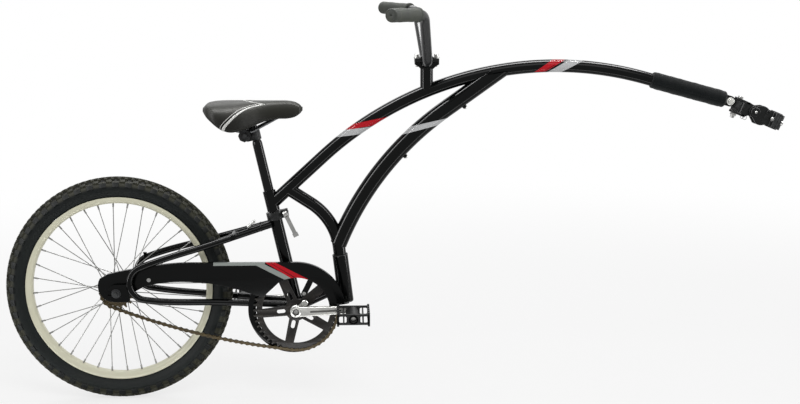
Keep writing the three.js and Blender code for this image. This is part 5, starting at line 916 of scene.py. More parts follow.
# Handlebar: one steel tube in satin black, held at its middle by the stem's jaw, bent up on both sides and
# swept back to the rubber grips.
def bent_path(corners, bends, step=4.0):
    """Straight runs joined by arcs: each corner is rounded, with a point about every so many millimetres."""
    corners = np.asarray(corners, float)
    arcs = [corner_arc(before, here, after, bend, lambda turn: max(3, int(bend * turn / step)))
            for before, here, after, bend in zip(corners, corners[1:], corners[2:], bends)]
    return np.concatenate([corners[:1], *arcs, corners[-1:]])


bar_radius = 11.1
bar_half = np.array([(0, 37.0, 0), (-14.0, 140.0, 108.0), (-87.1, 261.7, 111.0)])
bar_corners = np.concatenate([bar_half[::-1] * (1, -1, 1), bar_half]) + bar_place
bar_path = bent_path(bar_corners, (45.0, 36.0, 36.0, 45.0))
bar_look = finish("satin_bar", (30, 31, 32), (20, 20, 20), 0.28, 0.08, 0.4, bump=0.02, specular=0.3)
fitted("handlebar_bent", [tube(bar_path, bar_radius, steady=(1, 0, 0))], bar_look, "front_frame",
       "black_satin", "handlebar")

# Grips: moulded grey rubber pushed over the bar's ends, with a hand stop, shallow ribs and a soft domed end
# with a small centre hole.
grip_length, grip_past_bar = 118.0, 4.3
grip_radius = 14.5
rib_levels = np.linspace(9, 98, 46)
ribs = grip_radius - 0.35 + 0.35 * np.cos(rib_levels * 1.15) - 0.25 * np.cos(rib_levels * 0.12)
grip_rows = [(11.4, 0), (15.2, 0), (16.0, 1.0), (16.0, 5.0), (15.2, 6.2), (14.0, 7.2), *zip(ribs, rib_levels),
             (14.4, 100.5), (14.5, 104), (14.5, 113.0), (14.1, 115.4), (13.0, 117.2), (11.4, 117.9),
             (10.6, 117.4), (9.6, 117.9), (2.2, 118.0), (1.5, 117.4), (1.5, 114.2), (0, 114.2)]
rubber = finish("grey_rubber", (68, 71, 67), (84, 86, 74), 0.62, 0.12, 0.5, fine=1500.0, broad=24.0, bump=0.3,
                depth=0.0002, specular=0.1)
for name, side in (("right", -1), ("left", 1)):
    elbow, end = bar_half[1:] * (1, side, 1) + bar_place
    outward = (end - elbow) / np.linalg.norm(end - elbow)
    grip_frame = looking(outward, end + outward * (grip_past_bar - grip_length))
    fitted(f"{name}_grip_moulded", [turned(grip_rows, grip_frame, 56)], rubber, "front_frame", "grip_rubber",
           f"{name}_grip", sharp=50)

# Rear frame: bottom bracket shell with the seat tube, the link tube and the fold sleeve, all mitred steel
# tubes welded together and painted with the rest. A plastic bushing lines the sleeve.
bracket = np.array([-1079.5, 0.0, -417.5])
axle_place = np.array([-1477.0, 0.0, -373.0])
link_end = np.array([-972.6, 0.0, -368.1])
fold_up = np.array([-0.12014, 0.0, 0.99276])
sleeve_low, sleeve_high = np.array([-967.8, 0.0, -407.8]), np.array([-980.5, 0.0, -302.6])
tube_weld, weld_bead = 14.4, 1.5
seat_frame = (bracket, seat_ahead, across, seat_up)
shell_rows = [(17.2, -34), (19.4, -34), (20.0, -33.4), (20.0, 33.4), (19.4, 34), (17.2, 34), (17.2, -34)]
fitted("bracket_shell", [turned(shell_rows, side_on(bracket), 56)], paint, "rear_frame", "frame_paint",
       "bottom_bracket_shell")
seat_rows = [(14.3, 8), (14.3, 221.6), (13.9, 222), (11.7, 222), (11.7, 34), (0, 34)]
fitted("seat_tube_welded", [turned(seat_rows, seat_frame, 44),
                            weld(bracket + seat_up * 21.2, seat_up, tube_weld, weld_bead)],
       paint, "rear_frame", "frame_paint", "seat_tube")
sleeve_length = np.linalg.norm(sleeve_high - sleeve_low)
sleeve_rows = [(15.9, 0), (17.0, 0), (17.4, 0.4), (17.4, sleeve_length - 0.4), (17.0, sleeve_length),
               (15.9, sleeve_length), (15.9, 0)]
sleeve_frame = (sleeve_low, np.array([fold_up[2], 0, -fold_up[0]]), across, fold_up)
fitted("fold_sleeve_turned", [turned(sleeve_rows, sleeve_frame, 48)], paint, "rear_frame", "frame_paint",
       "fold_sleeve")
dress(moulded_black, "fold_bushing")
link_run = (link_end - bracket) / np.linalg.norm(link_end - bracket)
guard_boss = [(0, -38.2), (4.4, -38.2), (5.0, -37.6), (5.0, -8.0), (0, -8.0)]
link_parts = [tube(np.linspace(bracket + link_run * 8, link_end - link_run * 7, 4), frame_tube),
              weld(bracket + link_run * 21.0, link_run, tube_weld, weld_bead),
              weld(link_end - link_run * 18.4, link_run, tube_weld, weld_bead),
              turned(guard_boss, side_on(bracket + link_run * 40.0), 24)]
fitted("link_tube_welded", link_parts, paint, "rear_frame", "frame_paint", "link_tube")

# Stays: each side is one slim tube from behind the seat tube, out past the tyre, round the axle in a tight
# hairpin and forward to the bracket shell, with a slotted dropout plate; the right one carries the bridge.
stay_radius, bridge_radius = 7.5, 6.0
stay_weld, stay_bead = 7.7, 1.2
loop_centre = np.array([-1409.0, 0.0, -350.0])
loop_radius, loop_out = 38.0, 62.5
seatstay_slope, chainstay_drop = 16.6, 4.2
seat_cut, shell_cut, between_stays = -1127.0, -1097.0, -300.0
# Places ahead and out where the upper and the lower run pass on their way round the tyre
upper_knots = ((-1122.9, 10.0), (-1262.0, 38.5))
lower_knots = ((-1245.0, 38.5), (-1185.0, 29.5), (-1079.5, 22.0))
bridge_middle = np.array([-1219.0, 0.0, -253.7])
bridge_span = np.array([-38.5, -20.0, 0.0, 28.0])
dropout_radius, slot_half, slot_end = 20.0, 5.05, -19.4
dropout_near, dropout_far = 55.0, 60.0


def cubic_span(s, start, leave, end, arrive):
    """Cubic between two values with given end slopes.

    (2 s^3 - 3 s^2 + 1) start + (s^3 - 2 s^2 + s) leave + (3 s^2 - 2 s^3) end + (s^3 - s^2) arrive."""
    return ((2 * s**3 - 3 * s**2 + 1) * start + (s**3 - 2 * s**2 + s) * leave
            + (3 * s**2 - 2 * s**3) * end + (s**3 - s**2) * arrive)


def smooth_path(knots, steps=12):
    """A curve through its knots: cubic spans whose end directions halve the turn at each knot."""
    knots = np.asarray(knots, float)
    legs = np.diff(knots, axis=0)
    lengths = np.linalg.norm(legs, axis=1, keepdims=True)
    units = legs / lengths
    turns = np.concatenate([units[:1], units[:-1] + units[1:], units[-1:]])
    turns /= np.linalg.norm(turns, axis=1, keepdims=True)
    s = np.linspace(0, 1, steps, endpoint=False)[:, None]
    return np.concatenate([
        *[cubic_span(s, start, leave * length, end, arrive * length)
          for start, leave, end, arrive, length in zip(knots, turns, knots[1:], turns[1:], lengths)],
        knots[-1:]])


def stay_knot(start, run, x, out):
    """The place on a straight run where it passes a given distance ahead, moved out to one side."""
    return start + run * (x - start[0]) / run[0] + across * out


seatstay_run, chainstay_run = heading(seatstay_slope), heading(-chainstay_drop)
loop_top = loop_centre + loop_radius * heading(90 + seatstay_slope)
loop_bottom = loop_centre + loop_radius * heading(270 - chainstay_drop)
slot_turn = math.asin(slot_half / dropout_radius)
dropout = np.concatenate([
    ring_loop(dropout_radius, 14, math.radians(90), math.pi / 2 - slot_turn), [(slot_end, slot_half)],
    ring_loop(slot_half, 14, math.pi / 2, -math.pi), [(slot_end, -slot_half)],
    ring_loop(dropout_radius, 14, math.pi + slot_turn, math.pi / 2 - slot_turn),
    [(26.0, -20.0), (30.0, -16.0), (30.0, 16.0), (26.0, 20.0)]])
bridge_boss = [(0, -11), (4.0, -11), (4.5, -10.5), (4.5, 10.5), (4.0, 11), (0, 11)]
for name, side in (("right", -1), ("left", 1)):
    hairpin = side_arc(loop_centre, loop_radius, 90 + seatstay_slope, 270 - chainstay_drop, 9)
    path = smooth_path(np.concatenate([
        [stay_knot(loop_top, seatstay_run, x, side * out) for x, out in upper_knots],
        hairpin + across * side * loop_out,
        [stay_knot(loop_bottom, chainstay_run, x, side * out) for x, out in lower_knots]]))
    path = path[(path[:, 0] < seat_cut) | (path[:, 2] < between_stays)]
    path = path[(path[:, 0] < shell_cut) | (path[:, 2] > between_stays)]
    low, high = sorted((side * dropout_near, side * dropout_far))
    parts = [tube(path, stay_radius, around=32), plate([dropout], side_on(axle_place), low, high, 0.5),
             weld(path[2], path[3] - path[2], stay_weld, stay_bead, 28),
             weld(path[-3], path[-3] - path[-4], stay_weld, stay_bead, 28)]
    if side < 0:
        parts += [tube(bridge_middle + bridge_span[:, None] * across, bridge_radius, (1, 0, 0), 28),
                  turned(bridge_boss, looking(seatstay_run, bridge_middle), 24)]
    fitted(f"{name}_stay_bent", parts, paint, "rear_frame", "frame_paint", f"{name}_stay")

# Small rear fittings: a turned steel stud welded on top of the right seatstay, and a short painted peg on the
# left one near the axle.
stud_foot, stud_tip = np.array([-1185.0, -22.0, -231.0]), np.array([-1169.4, -22.0, -217.1])
stud_rows = [(0, -2), (3.2, -2), (3.2, 6.0), (2.2, 6.4), (2.2, 12.5), (3.4, 13.0), (3.4, 19.6), (2.8, 20.4),
             (0, 20.4)]
peg_foot = np.array([-1427.0, 56.0, -315.0])
peg_rows = [(0, -7), (3.4, -7), (3.4, 8.6), (4.4, 9.2), (4.4, 11.4), (3.6, 12.0), (0, 12.0)]
fitted("seatstay_stud", [turned(stud_rows, looking(stud_tip - stud_foot, stud_foot), 28)], bolt_steel,
       "rear_frame", "bright_steel")
fitted("seatstay_peg", [turned(peg_rows, looking(upward, peg_foot), 28)], paint, "rear_frame", "frame_paint")

# Seat post collar: a black split band round the top of the seat tube, drawn tight by a quick-release skewer
# whose plated lever keeps its solid.
collar_bore, collar_radius = 14.6, 18.6
collar_half_height = 9.0
ear_end, ear_side, ear_split, ear_root = 30.5, 7.5, 1.5, 17.0
collar_frame = (np.array([-1126.3, 0.0, -209.7]), seat_ahead, across, seat_up)
skewer_place = np.array([-1101.939, 0.0, -204.215])
collar_outline = np.concatenate([
    [(ear_end, -ear_side), (ear_end, -ear_split), (collar_bore, -ear_split)],
    ring_loop(collar_bore, 44, math.radians(-6), -math.radians(348)),
    [(ear_end, ear_split), (ear_end, ear_side), (ear_root, ear_side)],
    ring_loop(collar_radius, 36, math.radians(24), math.radians(312)), [(ear_root, -ear_side)]])
skewer_rows = [(0, -14.0), (2.75, -14.0), (2.75, 8.0), (6.0, 8.0), (6.0, 9.2), (5.4, 9.6), (5.4, 12.6),
               (6.0, 13.0), (6.0, 14.2), (5.2, 15.0), (0, 15.0)]
fitted("seat_collar_split", [plate([collar_outline], collar_frame, -collar_half_height, collar_half_height,
                                   0.5)], satin_black, "rear_frame", "black_satin", "seat_collar")
fitted("skewer_turned", [turned(skewer_rows, side_on(skewer_place), 28)], bolt_steel, "rear_frame",
       "bright_steel", "qr_skewer")
dress(bolt_steel, "qr_lever")

# Seat post: a painted steel tube with a swaged neck, and the saddle's steel clamp with toothed discs, drawn up
# by one cross bolt.
post_rows = [(0, 130), (9.6, 130), (11.1, 131.5), (11.1, 379.0), (10.8, 382.5), (9.0, 388.0), (8.5, 391.0),
             (8.5, 420.0), (0, 420.0)]
post_look = finish("black_post", (6, 7, 8), (10, 11, 12), 0.14, 0.05, 0.3, bump=0.01, specular=0.14)
fitted("seat_post_swaged", [turned(post_rows, seat_frame, 44)], post_look, "seatpost", "frame_paint",
       "seatpost")
dress(satin_black, "saddle_clamp", "saddle_clamp_bolt")
dress(dark_steel, "saddle_rails")
dress(moulded_black, "saddle_base")

# Saddle: vinyl stretched over foam on a moulded base, crowned along its middle and rolled in under its edge;
# the sides are darker than the crown by painted shade.
saddle_frame = upright((-1169.6, 0.0, -17.5))
station_shares = np.array([0, .03, .09, .17, .27, .37, .47, .57, .66, .76, .86, .94, .985, 1])
width_shares = np.array([.45, .66, .87, .98, 1, .9, .71, .51, .38, .31, .28, .23, .14, .05])
drop_shares = np.array([.22, .11, .04, .01, 0, 0, 0, 0, 0, 0, .01, .08, .2, .28])
skirt_shares = np.array([.32, .45, .64, .86, 1, .98, .88, .75, .65, .61, .6, .52, .4, .34])
saddle_length, saddle_back, saddle_half, saddle_top, saddle_skirt = 218.0, -110.0, 77.0, 66.5, 61.0
flank_power, crown_power = 0.85, 0.6
least_size = 2.0
foam_side, foam_top = 6.5, 12.0
# Painted shade: the cover's colour darkens between these two heights, down its sides
flank_high, flank_low, flank_painted_shade = 0.036, 0.010, linear(30, 30, 27)


def eased(values, at):
    """Values between stations by cubic spans, with even slopes at each station."""
    slopes = np.gradient(values, station_shares)
    spot = np.clip(np.searchsorted(station_shares, at, side="right") - 1, 0, len(station_shares) - 2)
    run = station_shares[spot + 1] - station_shares[spot]
    return cubic_span((at - station_shares[spot]) / run, values[spot], slopes[spot] * run, values[spot + 1],
                      slopes[spot + 1] * run)


def saddle_skin(share, turn, inset_side=0.0, inset_top=0.0):
    """A place on the cover: at a share of its length and a turn over the top from one edge to the other.

    y = half width sign(cos t) |cos t|^0.85 and z = edge + height sin(t)^0.6, each from the eased stations."""
    wide = np.maximum(saddle_half * eased(width_shares, share) - inset_side, least_size)
    top = saddle_top - saddle_skirt * eased(drop_shares, share)
    edge = saddle_top - saddle_skirt * eased(skirt_shares, share)
    high = np.maximum(top - edge - inset_top, least_size)
    run = np.cos(turn)
    return np.stack([saddle_back + saddle_length * share + 0 * turn,
                     wide * np.sign(run) * np.abs(run) ** flank_power,
                     edge + high * np.maximum(np.sin(turn), 0) ** crown_power], axis=-1)


stations = (1 - np.cos(np.linspace(0, math.pi, 90))) / 2
share_grid, over_grid = np.meshgrid(stations, np.linspace(0, math.pi, 65), indexing="ij")
cover_top = saddle_skin(share_grid, over_grid)
# The edge rolls in and up under itself to meet the base
rolled = [saddle_skin(share_grid[:, [0, -1]], over_grid[:, [0, -1]], inset) + (0, 0, lift)
          for inset, lift in ((2.0, -1.6), (5.2, -0.6), (6.8, 2.5), (7.12, 7.0))]
under_top = saddle_skin(share_grid, over_grid, foam_side, foam_top)
ring = np.concatenate([cover_top] + [edge[:, 1:] for edge in rolled] + [under_top[:, ::-1]]
                      + [edge[:, :1] for edge in rolled[::-1]] + [cover_top[:, :1]], axis=1)
cover_grid = place(np.concatenate([pole(ring[0].mean(axis=0), ring.shape[1]), ring,
                                   pole(ring[-1].mean(axis=0), ring.shape[1])]), saddle_frame)


def flank_shade(tree, shown):
    """Painted shade on the sides: the colour deepens below the crown."""
    spot = node(tree, "ShaderNodeTexCoord").outputs["Object"]
    height = node(tree, "ShaderNodeSeparateXYZ", {0: spot}).outputs["Z"]
    return blended(tree, ranged(tree, height, flank_high, flank_low), shown, flank_painted_shade)


vinyl = finish("saddle_vinyl", (44, 44, 38), (36, 36, 31), 0.42, 0.14, 0.5, fine=1300.0, broad=30.0, bump=0.4,
               depth=0.0003, specular=0.09, pattern=flank_shade)
saddle_cover = fitted("saddle_padding", [cover_grid], vinyl, "seatpost", "saddle_vinyl", "saddle_cover",
                      sharp=70)

# Saddle piping: white vinyl sewn into the cover's seams, a broad welt with a thin one beside it on each flank
# and a short one across the back of the nose. The broad ones are half sunk into the skin.
white_vinyl = finish("piping_vinyl", (196, 196, 192), (170, 170, 165), 0.4, 0.1, 0.3, fine=1600.0, bump=0.2)
sunk_share = 0.45
# Half width at the lower and the upper end, then places as (share of the length, turn over the top)
welts = (
    (3.6, 1.6, ((0.215, 0.0), (0.27, 0.18), (0.345, 0.42), (0.455, 0.70), (0.60, 0.86))),
    (0.7, 0.7, ((0.185, 0.0), (0.235, 0.18), (0.305, 0.44), (0.41, 0.74), (0.54, 0.93))),
    (1.6, 1.4, ((0.40, math.pi / 2), (0.47, 1.30), (0.55, 1.04), (0.62, 0.86))),
)
piping = []
for low_half, high_half, knots in welts:
    for flank in (1, -1):
        flat = smooth_path([(share, math.pi / 2 + flank * (turn - math.pi / 2), 0) for share, turn in knots],
                           10)
        line = place(saddle_skin(flat[:, 0], flat[:, 1]), saddle_frame)
        half = np.linspace(low_half, high_half, len(line))
        if low_half > 1:
            line -= sunk_share * np.stack([0 * half, half * np.sign(line[:, 1]), half], axis=1)
        piping.append(tube(line, half, (0, 0.3, 1), 16))
fitted("saddle_piping", piping, white_vinyl, "seatpost", "saddle_vinyl")

# Wheel: alloy hub, pale painted rim of rolled alloy, and 36 steel spokes. Each spoke hooks through its flange,
# crosses its neighbours and ends in a nipple at the rim.
hub_look = finish("hub_satin", (24, 25, 25), (40, 40, 40), 0.36, 0.12, 0.4, specular=0.2)
hub_rows = [(6, -32), (24, -32), (27.6, -32), (29, -31), (29, -29), (27.6, -28), (20, -27.6), (17.0, -22),
            (15.0, 0), (17.0, 22), (20, 27.6), (27.6, 28), (29, 29), (29, 31), (27.6, 32), (24, 32), (6, 32),
            (6, -32)]
fitted("hub_shell", [turned(hub_rows, side_on(axle_place), 60)], hub_look, "wheel", "black_satin", "hub")

rim_look = finish("rim_paint", (221, 219, 195), (204, 201, 176), 0.34, 0.1, 0.35, broad=20.0, bump=0.05,
                  specular=0.2)
rim_rows = [(194.0, 0), (194.0, 5.0), (194.7, 8.8), (196.8, 12.4), (200.0, 14.3), (204.0, 15.2),
            (207.4, 15.5), (208.8, 15.1), (209.0, 14.0), (208.2, 12.9), (206.8, 12.6), (203.0, 12.4),
            (201.6, 11.0), (201.4, 0)]
rim_rows += [(radius, -y) for radius, y in reversed(rim_rows[:-1])]
fitted("rim_rolled", [turned(rim_rows, side_on(axle_place), 144)], rim_look, "wheel", "rim_paint", "rim")

spoke_steel = finish("spoke_steel", (126, 126, 124), (100, 100, 98), 0.4, 0.1, 0.4, metal=0.3, specular=0.1,
                     broad=40.0)
spokes_each, spoke_radius = 18, 1.0
spoke_step = 2 * math.pi / spokes_each
lacing_start, lacing_lean = math.radians(3.0), 2 * spoke_step
flange_reach, flange_side, flange_lay = 24.5, 34.2, 0.9
nipple_reach, nipple_side = 193.6, 3.0
nipple_rows = [(0, -10), (1.5, -10), (1.9, -9), (1.9, -2), (2.2, 0.5), (0, 0.5)]
for name, side in (("right", -1), ("left", 1)):
    laced = []
    for i in range(spokes_each):
        at = spoke_step * i + lacing_start + (spoke_step / 2 if side > 0 else 0)
        ends_at = at + (lacing_lean if i % 2 else -lacing_lean)
        foot = axle_place + (flange_reach * math.cos(at), side * (flange_side + i % 2 * flange_lay),
                             flange_reach * math.sin(at))
        head = axle_place + (nipple_reach * math.cos(ends_at), side * nipple_side,
                             nipple_reach * math.sin(ends_at))
        run = (head - foot) / np.linalg.norm(head - foot)
        elbow = [foot - across * side * 6.0, foot - across * side * 1.6 + run * 0.4, foot + run * 2.4]
        spoke = np.concatenate([elbow, np.linspace(foot + run * 8, head - run * 6, 3)])
        laced += [tube(spoke, spoke_radius, (0.3, 1, 0.2), 8), turned(nipple_rows, looking(run, head), 8)]
    fitted(f"{name}_spokes_laced", laced, spoke_steel, "wheel", "bright_steel", f"{name}_spokes")

# Tyre: black rubber with a round section that swells out over the rim's hooks. Its moulded tread is three rows
# of crown blocks, a row of side blocks each side and a longer row of shoulder blocks, as pieces of their own.
crown, tyre_deep, tyre_wide = 248.7, 19.1, 21.9
bead_radius, bead_side, least_tyre = 209.4, 13.2, 210.3
lower_share = 0.98
shoulder_band, dusty_olive = (232.0, 237.0), linear(56, 56, 46)
# Painted shadow: the outer band is turned near black where the gaps between the crown blocks lie
crown_gap_shadow_band, gap_painted_shadow = (243.5, 246.0), linear(17, 18, 17)


def carcass_shade(tree, shown):
    """Dusty olive where the shoulder blocks stand, near black down the sidewall, and near black between the
    crown blocks as painted shadow in their gaps.
    """
    reach = round_arc(tree, axle_place, 0.0)[1]
    shown = blended(tree, ranged(tree, reach, *shoulder_band), shown, dusty_olive)
    return blended(tree, ranged(tree, reach, *crown_gap_shadow_band), shown, gap_painted_shadow)


def tread_blocks(count, turn_low, turn_high, long_share, start, rise):
    """One row of tread blocks, all worked out together from corners at a turn t and a section angle v.

    Place: r = crown - deep + (deep + height) cos v, out = (wide + 0.55 height) sin v; each block tapers to its
    top."""
    step = 2 * math.pi / count
    middle = (np.arange(count) * step + start)[:, None]
    flat = np.array([(-1, -1), (1, -1), (1, 1), (-1, 1)], float)
    levels = []
    for taper, height in ((1.0, -0.8), (0.94, rise - 0.7), (0.82, rise)):
        along = middle + flat[None, :, 0] * taper * long_share * step / 2
        lean = (turn_low + turn_high) / 2 + flat[None, :, 1] * taper * (turn_high - turn_low) / 2
        radius = crown - tyre_deep + (tyre_deep + height) * np.cos(lean)
        out = (tyre_wide + height * 0.55) * np.sin(lean)
        levels.append(np.stack([radius * np.cos(along), radius * np.sin(along), out + 0 * along], axis=-1))
    corners = np.concatenate(levels, axis=1).reshape(-1, 3)
    sides = [(layer + i, layer + (i + 1) % 4, layer + 4 + (i + 1) % 4, layer + 4 + i)
             for layer in (0, 4) for i in range(4)]
    base = np.arange(count)[:, None] * 12
    faces = np.concatenate([base + np.array(side) for side in sides + [(3, 2, 1, 0), (8, 9, 10, 11)]])
    return place(corners, side_on(axle_place)), [tuple(face) for face in faces.tolist()]


tyre_look = finish("tyre_rubber", (18, 22, 22), (27, 30, 28), 0.6, 0.12, 0.6, fine=1100.0, broad=16.0, bump=0.3,
                   depth=0.0002, specular=0.08, pattern=carcass_shade)
block_look = finish("tread_rubber", (60, 60, 50), (38, 39, 34), 0.62, 0.12, 0.6, fine=1100.0, broad=70.0,
                    bump=0.35, depth=0.0003, specular=0.08)
shoulder_look = finish("shoulder_rubber", (19, 22, 22), (29, 31, 28), 0.56, 0.12, 0.6, fine=1100.0, broad=70.0,
                       bump=0.35, depth=0.0003, specular=0.1)
tyre_rows = [(bead_radius, -bead_side)] + [
    (crown - tyre_deep + tyre_deep * math.cos(turn) * (1.0 if abs(turn) < 1.6 else lower_share),
     tyre_wide * math.sin(turn)) for turn in np.radians(np.linspace(-128, 128, 45))]
tyre_rows = [(max(radius, least_tyre), y) for radius, y in tyre_rows]
tyre_rows += [(bead_radius, bead_side), (bead_radius, -bead_side)]
knob_count = 52
half_knob = math.pi / knob_count
tread, shoulders = [tread_blocks(2 * knob_count, -0.17, 0.17, 0.6, 0.0, 5.1)], []
for side in (-1, 1):
    tread += [tread_blocks(2 * knob_count, side * 0.25, side * 0.50, 0.5, half_knob / 2, 5.1),
              tread_blocks(knob_count, side * 0.58, side * 0.88, 0.46, half_knob, 4.9)]
    shoulders.append(tread_blocks(knob_count, side * 0.92, side * 1.42, 0.52, 0.0, 4.4))
fitted("tyre_moulded", [turned(tyre_rows, side_on(axle_place), 160)], tyre_look, "wheel", "tyre_rubber", "tyre",
       sharp=38)
fitted("tyre_tread_blocks", tread, block_look, "wheel", "tyre_rubber", sharp=38)
fitted("tyre_shoulder_blocks", shoulders, shoulder_look, "wheel", "tyre_rubber", sharp=38)
dress(dark_steel, "axle")

# Chain wheels: a pressed black ring with five arms, cut through with windows, slots and the drive pin's hole,
# and a brown cog screwed to the hub's driver.
ring_teeth, cog_teeth, chain_pitch = 46, 18, 12.7
chain_line, wheel_half = -45.0, 1.5
arm_first, arm_count, arm_half = math.radians(41.5), 5, 10.0
inner_ring, hub_ring = 76.0, 25.0
drive_reach = 26.0
arm_slot = box_loop(19.0, 8.5, 4.2) + (34.0, 0)


def pitch_radius(teeth):
    """Radius of a wheel's pitch circle: half the pitch over the sine of half a tooth's turn."""
    return chain_pitch / 2 / math.sin(math.pi / teeth)


def tooth_outline(teeth, root=4.2, rise=3.2):
    """Radius through each tooth: six points from root to tip and back, the tip narrower than the foot."""
    places = np.array([-0.36, -0.2, -0.11, 0.11, 0.2, 0.36])
    radii = pitch_radius(teeth) + np.array([-root, -root * 0.3, rise, rise, -root * 0.3, -root])
    turns = (np.arange(teeth)[:, None] + places[None]).ravel() * 2 * math.pi / teeth
    reach = np.tile(radii, teeth)
    return np.stack([reach * np.cos(turns), reach * np.sin(turns)], axis=1)


drive_at = drive_reach * np.array([math.cos(arm_first), math.sin(arm_first)])
ring_holes = [ring_loop(8.6, 30), ring_loop(4.5, 20, centre=drive_at)]
outer_half, inner_half = math.asin(arm_half / inner_ring), math.asin((arm_half + 1.5) / hub_ring)
for i in range(arm_count):
    arm = arm_first + i * 2 * math.pi / arm_count
    following = arm + 2 * math.pi / arm_count
    ring_holes.append(np.concatenate([
        ring_loop(inner_ring, 16, arm + outer_half, following - arm - 2 * outer_half),
        ring_loop(hub_ring, 6, following - inner_half, -(following - arm - 2 * inner_half))]))
    if i:
        turn_to = np.array([[math.cos(arm), math.sin(arm)], [-math.sin(arm), math.cos(arm)]])
        ring_holes.append(arm_slot @ turn_to)
ring_look = finish("ring_black", (20, 19, 18), (40, 34, 29), 0.36, 0.12, 0.5, broad=40.0, specular=0.16,
                   wear=0.5, bare=(100, 96, 88))
fitted("chainring_pressed", [plate([tooth_outline(ring_teeth), *ring_holes], side_on(bracket),
                                   chain_line - wheel_half, chain_line + wheel_half, 0.45)],
       ring_look, "cranks", "black_satin", "chainring")
chain_look = finish("chain_brown", (64, 54, 32), (34, 28, 18), 0.4, 0.16, 0.7, metal=0.25, specular=0.2,
                    broad=120.0, fine=1600.0, bump=0.2)
driver_rows = [(9.3, -43.0), (17.0, -43.0), (17.5, -42.4), (17.5, -33.0), (9.3, -33.0), (9.3, -43.0)]
fitted("cog_screwed", [plate([tooth_outline(cog_teeth), ring_loop(9.3, 40)], side_on(axle_place),
                             chain_line - wheel_half, chain_line + wheel_half, 0.4),
                       turned(driver_rows, side_on(axle_place), 40)],
       chain_look, "cog", "chain_bronze", "cog")

# Chain: bushed steel links, a pair of outer plates and a pair of inner plates in turn, riveted through rollers.
# The upper run is taut and the lower one hangs slack.
lower_sag = 13.0
link_end_radius, link_waist = 4.2, 2.2
roller_radius, roller_half = 3.8, 1.8
rivet_radius, rivet_half = 1.8, 4.0
inner_levels, outer_levels = (1.8, 2.5), (2.6, 3.3)


def stood(flat, low, high):
    """Many flat outlines (n, count, 2) stood up at once between two levels across the chain, with both ends."""
    count = flat.shape[1]
    solid = np.concatenate([np.stack([flat[..., 0], np.full(flat.shape[:2], level), flat[..., 1]], axis=-1)
                            for level in (low, high)], axis=1).reshape(-1, 3)
    base = np.arange(len(flat))[:, None] * 2 * count
    rounds = [base + np.arange(count), base + count + np.arange(count)[::-1]]
    for i in range(count):
        following = (i + 1) % count
        rounds.append(base + np.array([i, i + count, following + count, following]))
    return solid, [tuple(face) for faces in rounds for face in faces.tolist()]


ring_pitch, cog_pitch = pitch_radius(ring_teeth), pitch_radius(cog_teeth)
ring_at, cog_at = bracket[[0, 2]], axle_place[[0, 2]]
between = ring_at - cog_at
lean = math.asin((ring_pitch - cog_pitch) / np.linalg.norm(between))
base_turn = math.atan2(between[1], between[0])
top_turn, bottom_turn = base_turn + math.pi / 2 + lean, base_turn - math.pi / 2 - lean
on_ring = ring_loop(ring_pitch, 400, bottom_turn, top_turn - bottom_turn, ring_at)
on_cog = ring_loop(cog_pitch, 200, top_turn, 2 * math.pi - (top_turn - bottom_turn), cog_at)
share = np.linspace(0, 1, 400)[1:-1, None]
upper_run = on_ring[-1] + (on_cog[0] - on_ring[-1]) * share
# The slack run hangs 4 sag s (1 - s) below its straight line
lower_run = (on_cog[-1] + (on_ring[0] - on_cog[-1]) * share
             - np.array([0, 1.0]) * 4 * lower_sag * share * (1 - share))
chain_path = np.concatenate([on_ring, upper_run, on_cog, lower_run, on_ring[:1]])
gone = np.concatenate([[0], np.cumsum(np.linalg.norm(np.diff(chain_path, axis=0), axis=1))])
link_count = 2 * round(gone[-1] / chain_pitch / 2)
pins = np.stack([np.interp(np.arange(link_count) * gone[-1] / link_count, gone, chain_path[:, axis])
                 for axis in (0, 1)], axis=1)
nexts = np.roll(pins, -1, axis=0)
link_ahead = (nexts - pins) / np.linalg.norm(nexts - pins, axis=1, keepdims=True)
link_above = np.stack([-link_ahead[:, 1], link_ahead[:, 0]], axis=1)
link_turns = np.radians([50, 90, 130, 180, 230, 270, 310])
half_link = np.stack([link_end_radius * np.cos(link_turns), link_end_radius * np.sin(link_turns)], axis=1)
link_loop = np.concatenate([half_link, [(chain_pitch / 2, -link_waist)],
                            half_link[::-1] * (-1, 1) + (chain_pitch, 0), [(chain_pitch / 2, link_waist)]])
# Each link's outline is carried to pin + a ahead + b above
plates = (pins[:, None] + link_loop[None, :, :1] * link_ahead[:, None]
          + link_loop[None, :, 1:] * link_above[:, None])
chain_parts = [stood(pins[:, None] + ring_loop(radius, 8), chain_line - half, chain_line + half)
               for radius, half in ((roller_radius, roller_half), (rivet_radius, rivet_half))]
for side in (-1, 1):
    for first, levels in enumerate((inner_levels, outer_levels)):
        low, high = sorted(side * level for level in levels)
        chain_parts.append(stood(plates[first::2], chain_line + low, chain_line + high))
fitted("chain_linked", chain_parts, chain_look, "rear_frame", "chain_bronze", "chain", merge=1e-9)

# Cranks: forged alloy arms on a square-ended spindle, each a round boss, a tapered arm with a groove along
# its face, and an eye for the pedal's axle. The right one drives the ring by a pin in its short reach. The
# groove is a thin dark strip laid on the face: painted shade where the groove's shadow falls.
alloy_look = finish("forged_alloy", (158, 158, 155), (112, 112, 109), 0.3, 0.18, 0.35, metal=1.0, broad=45.0,
                    bump=0.08)
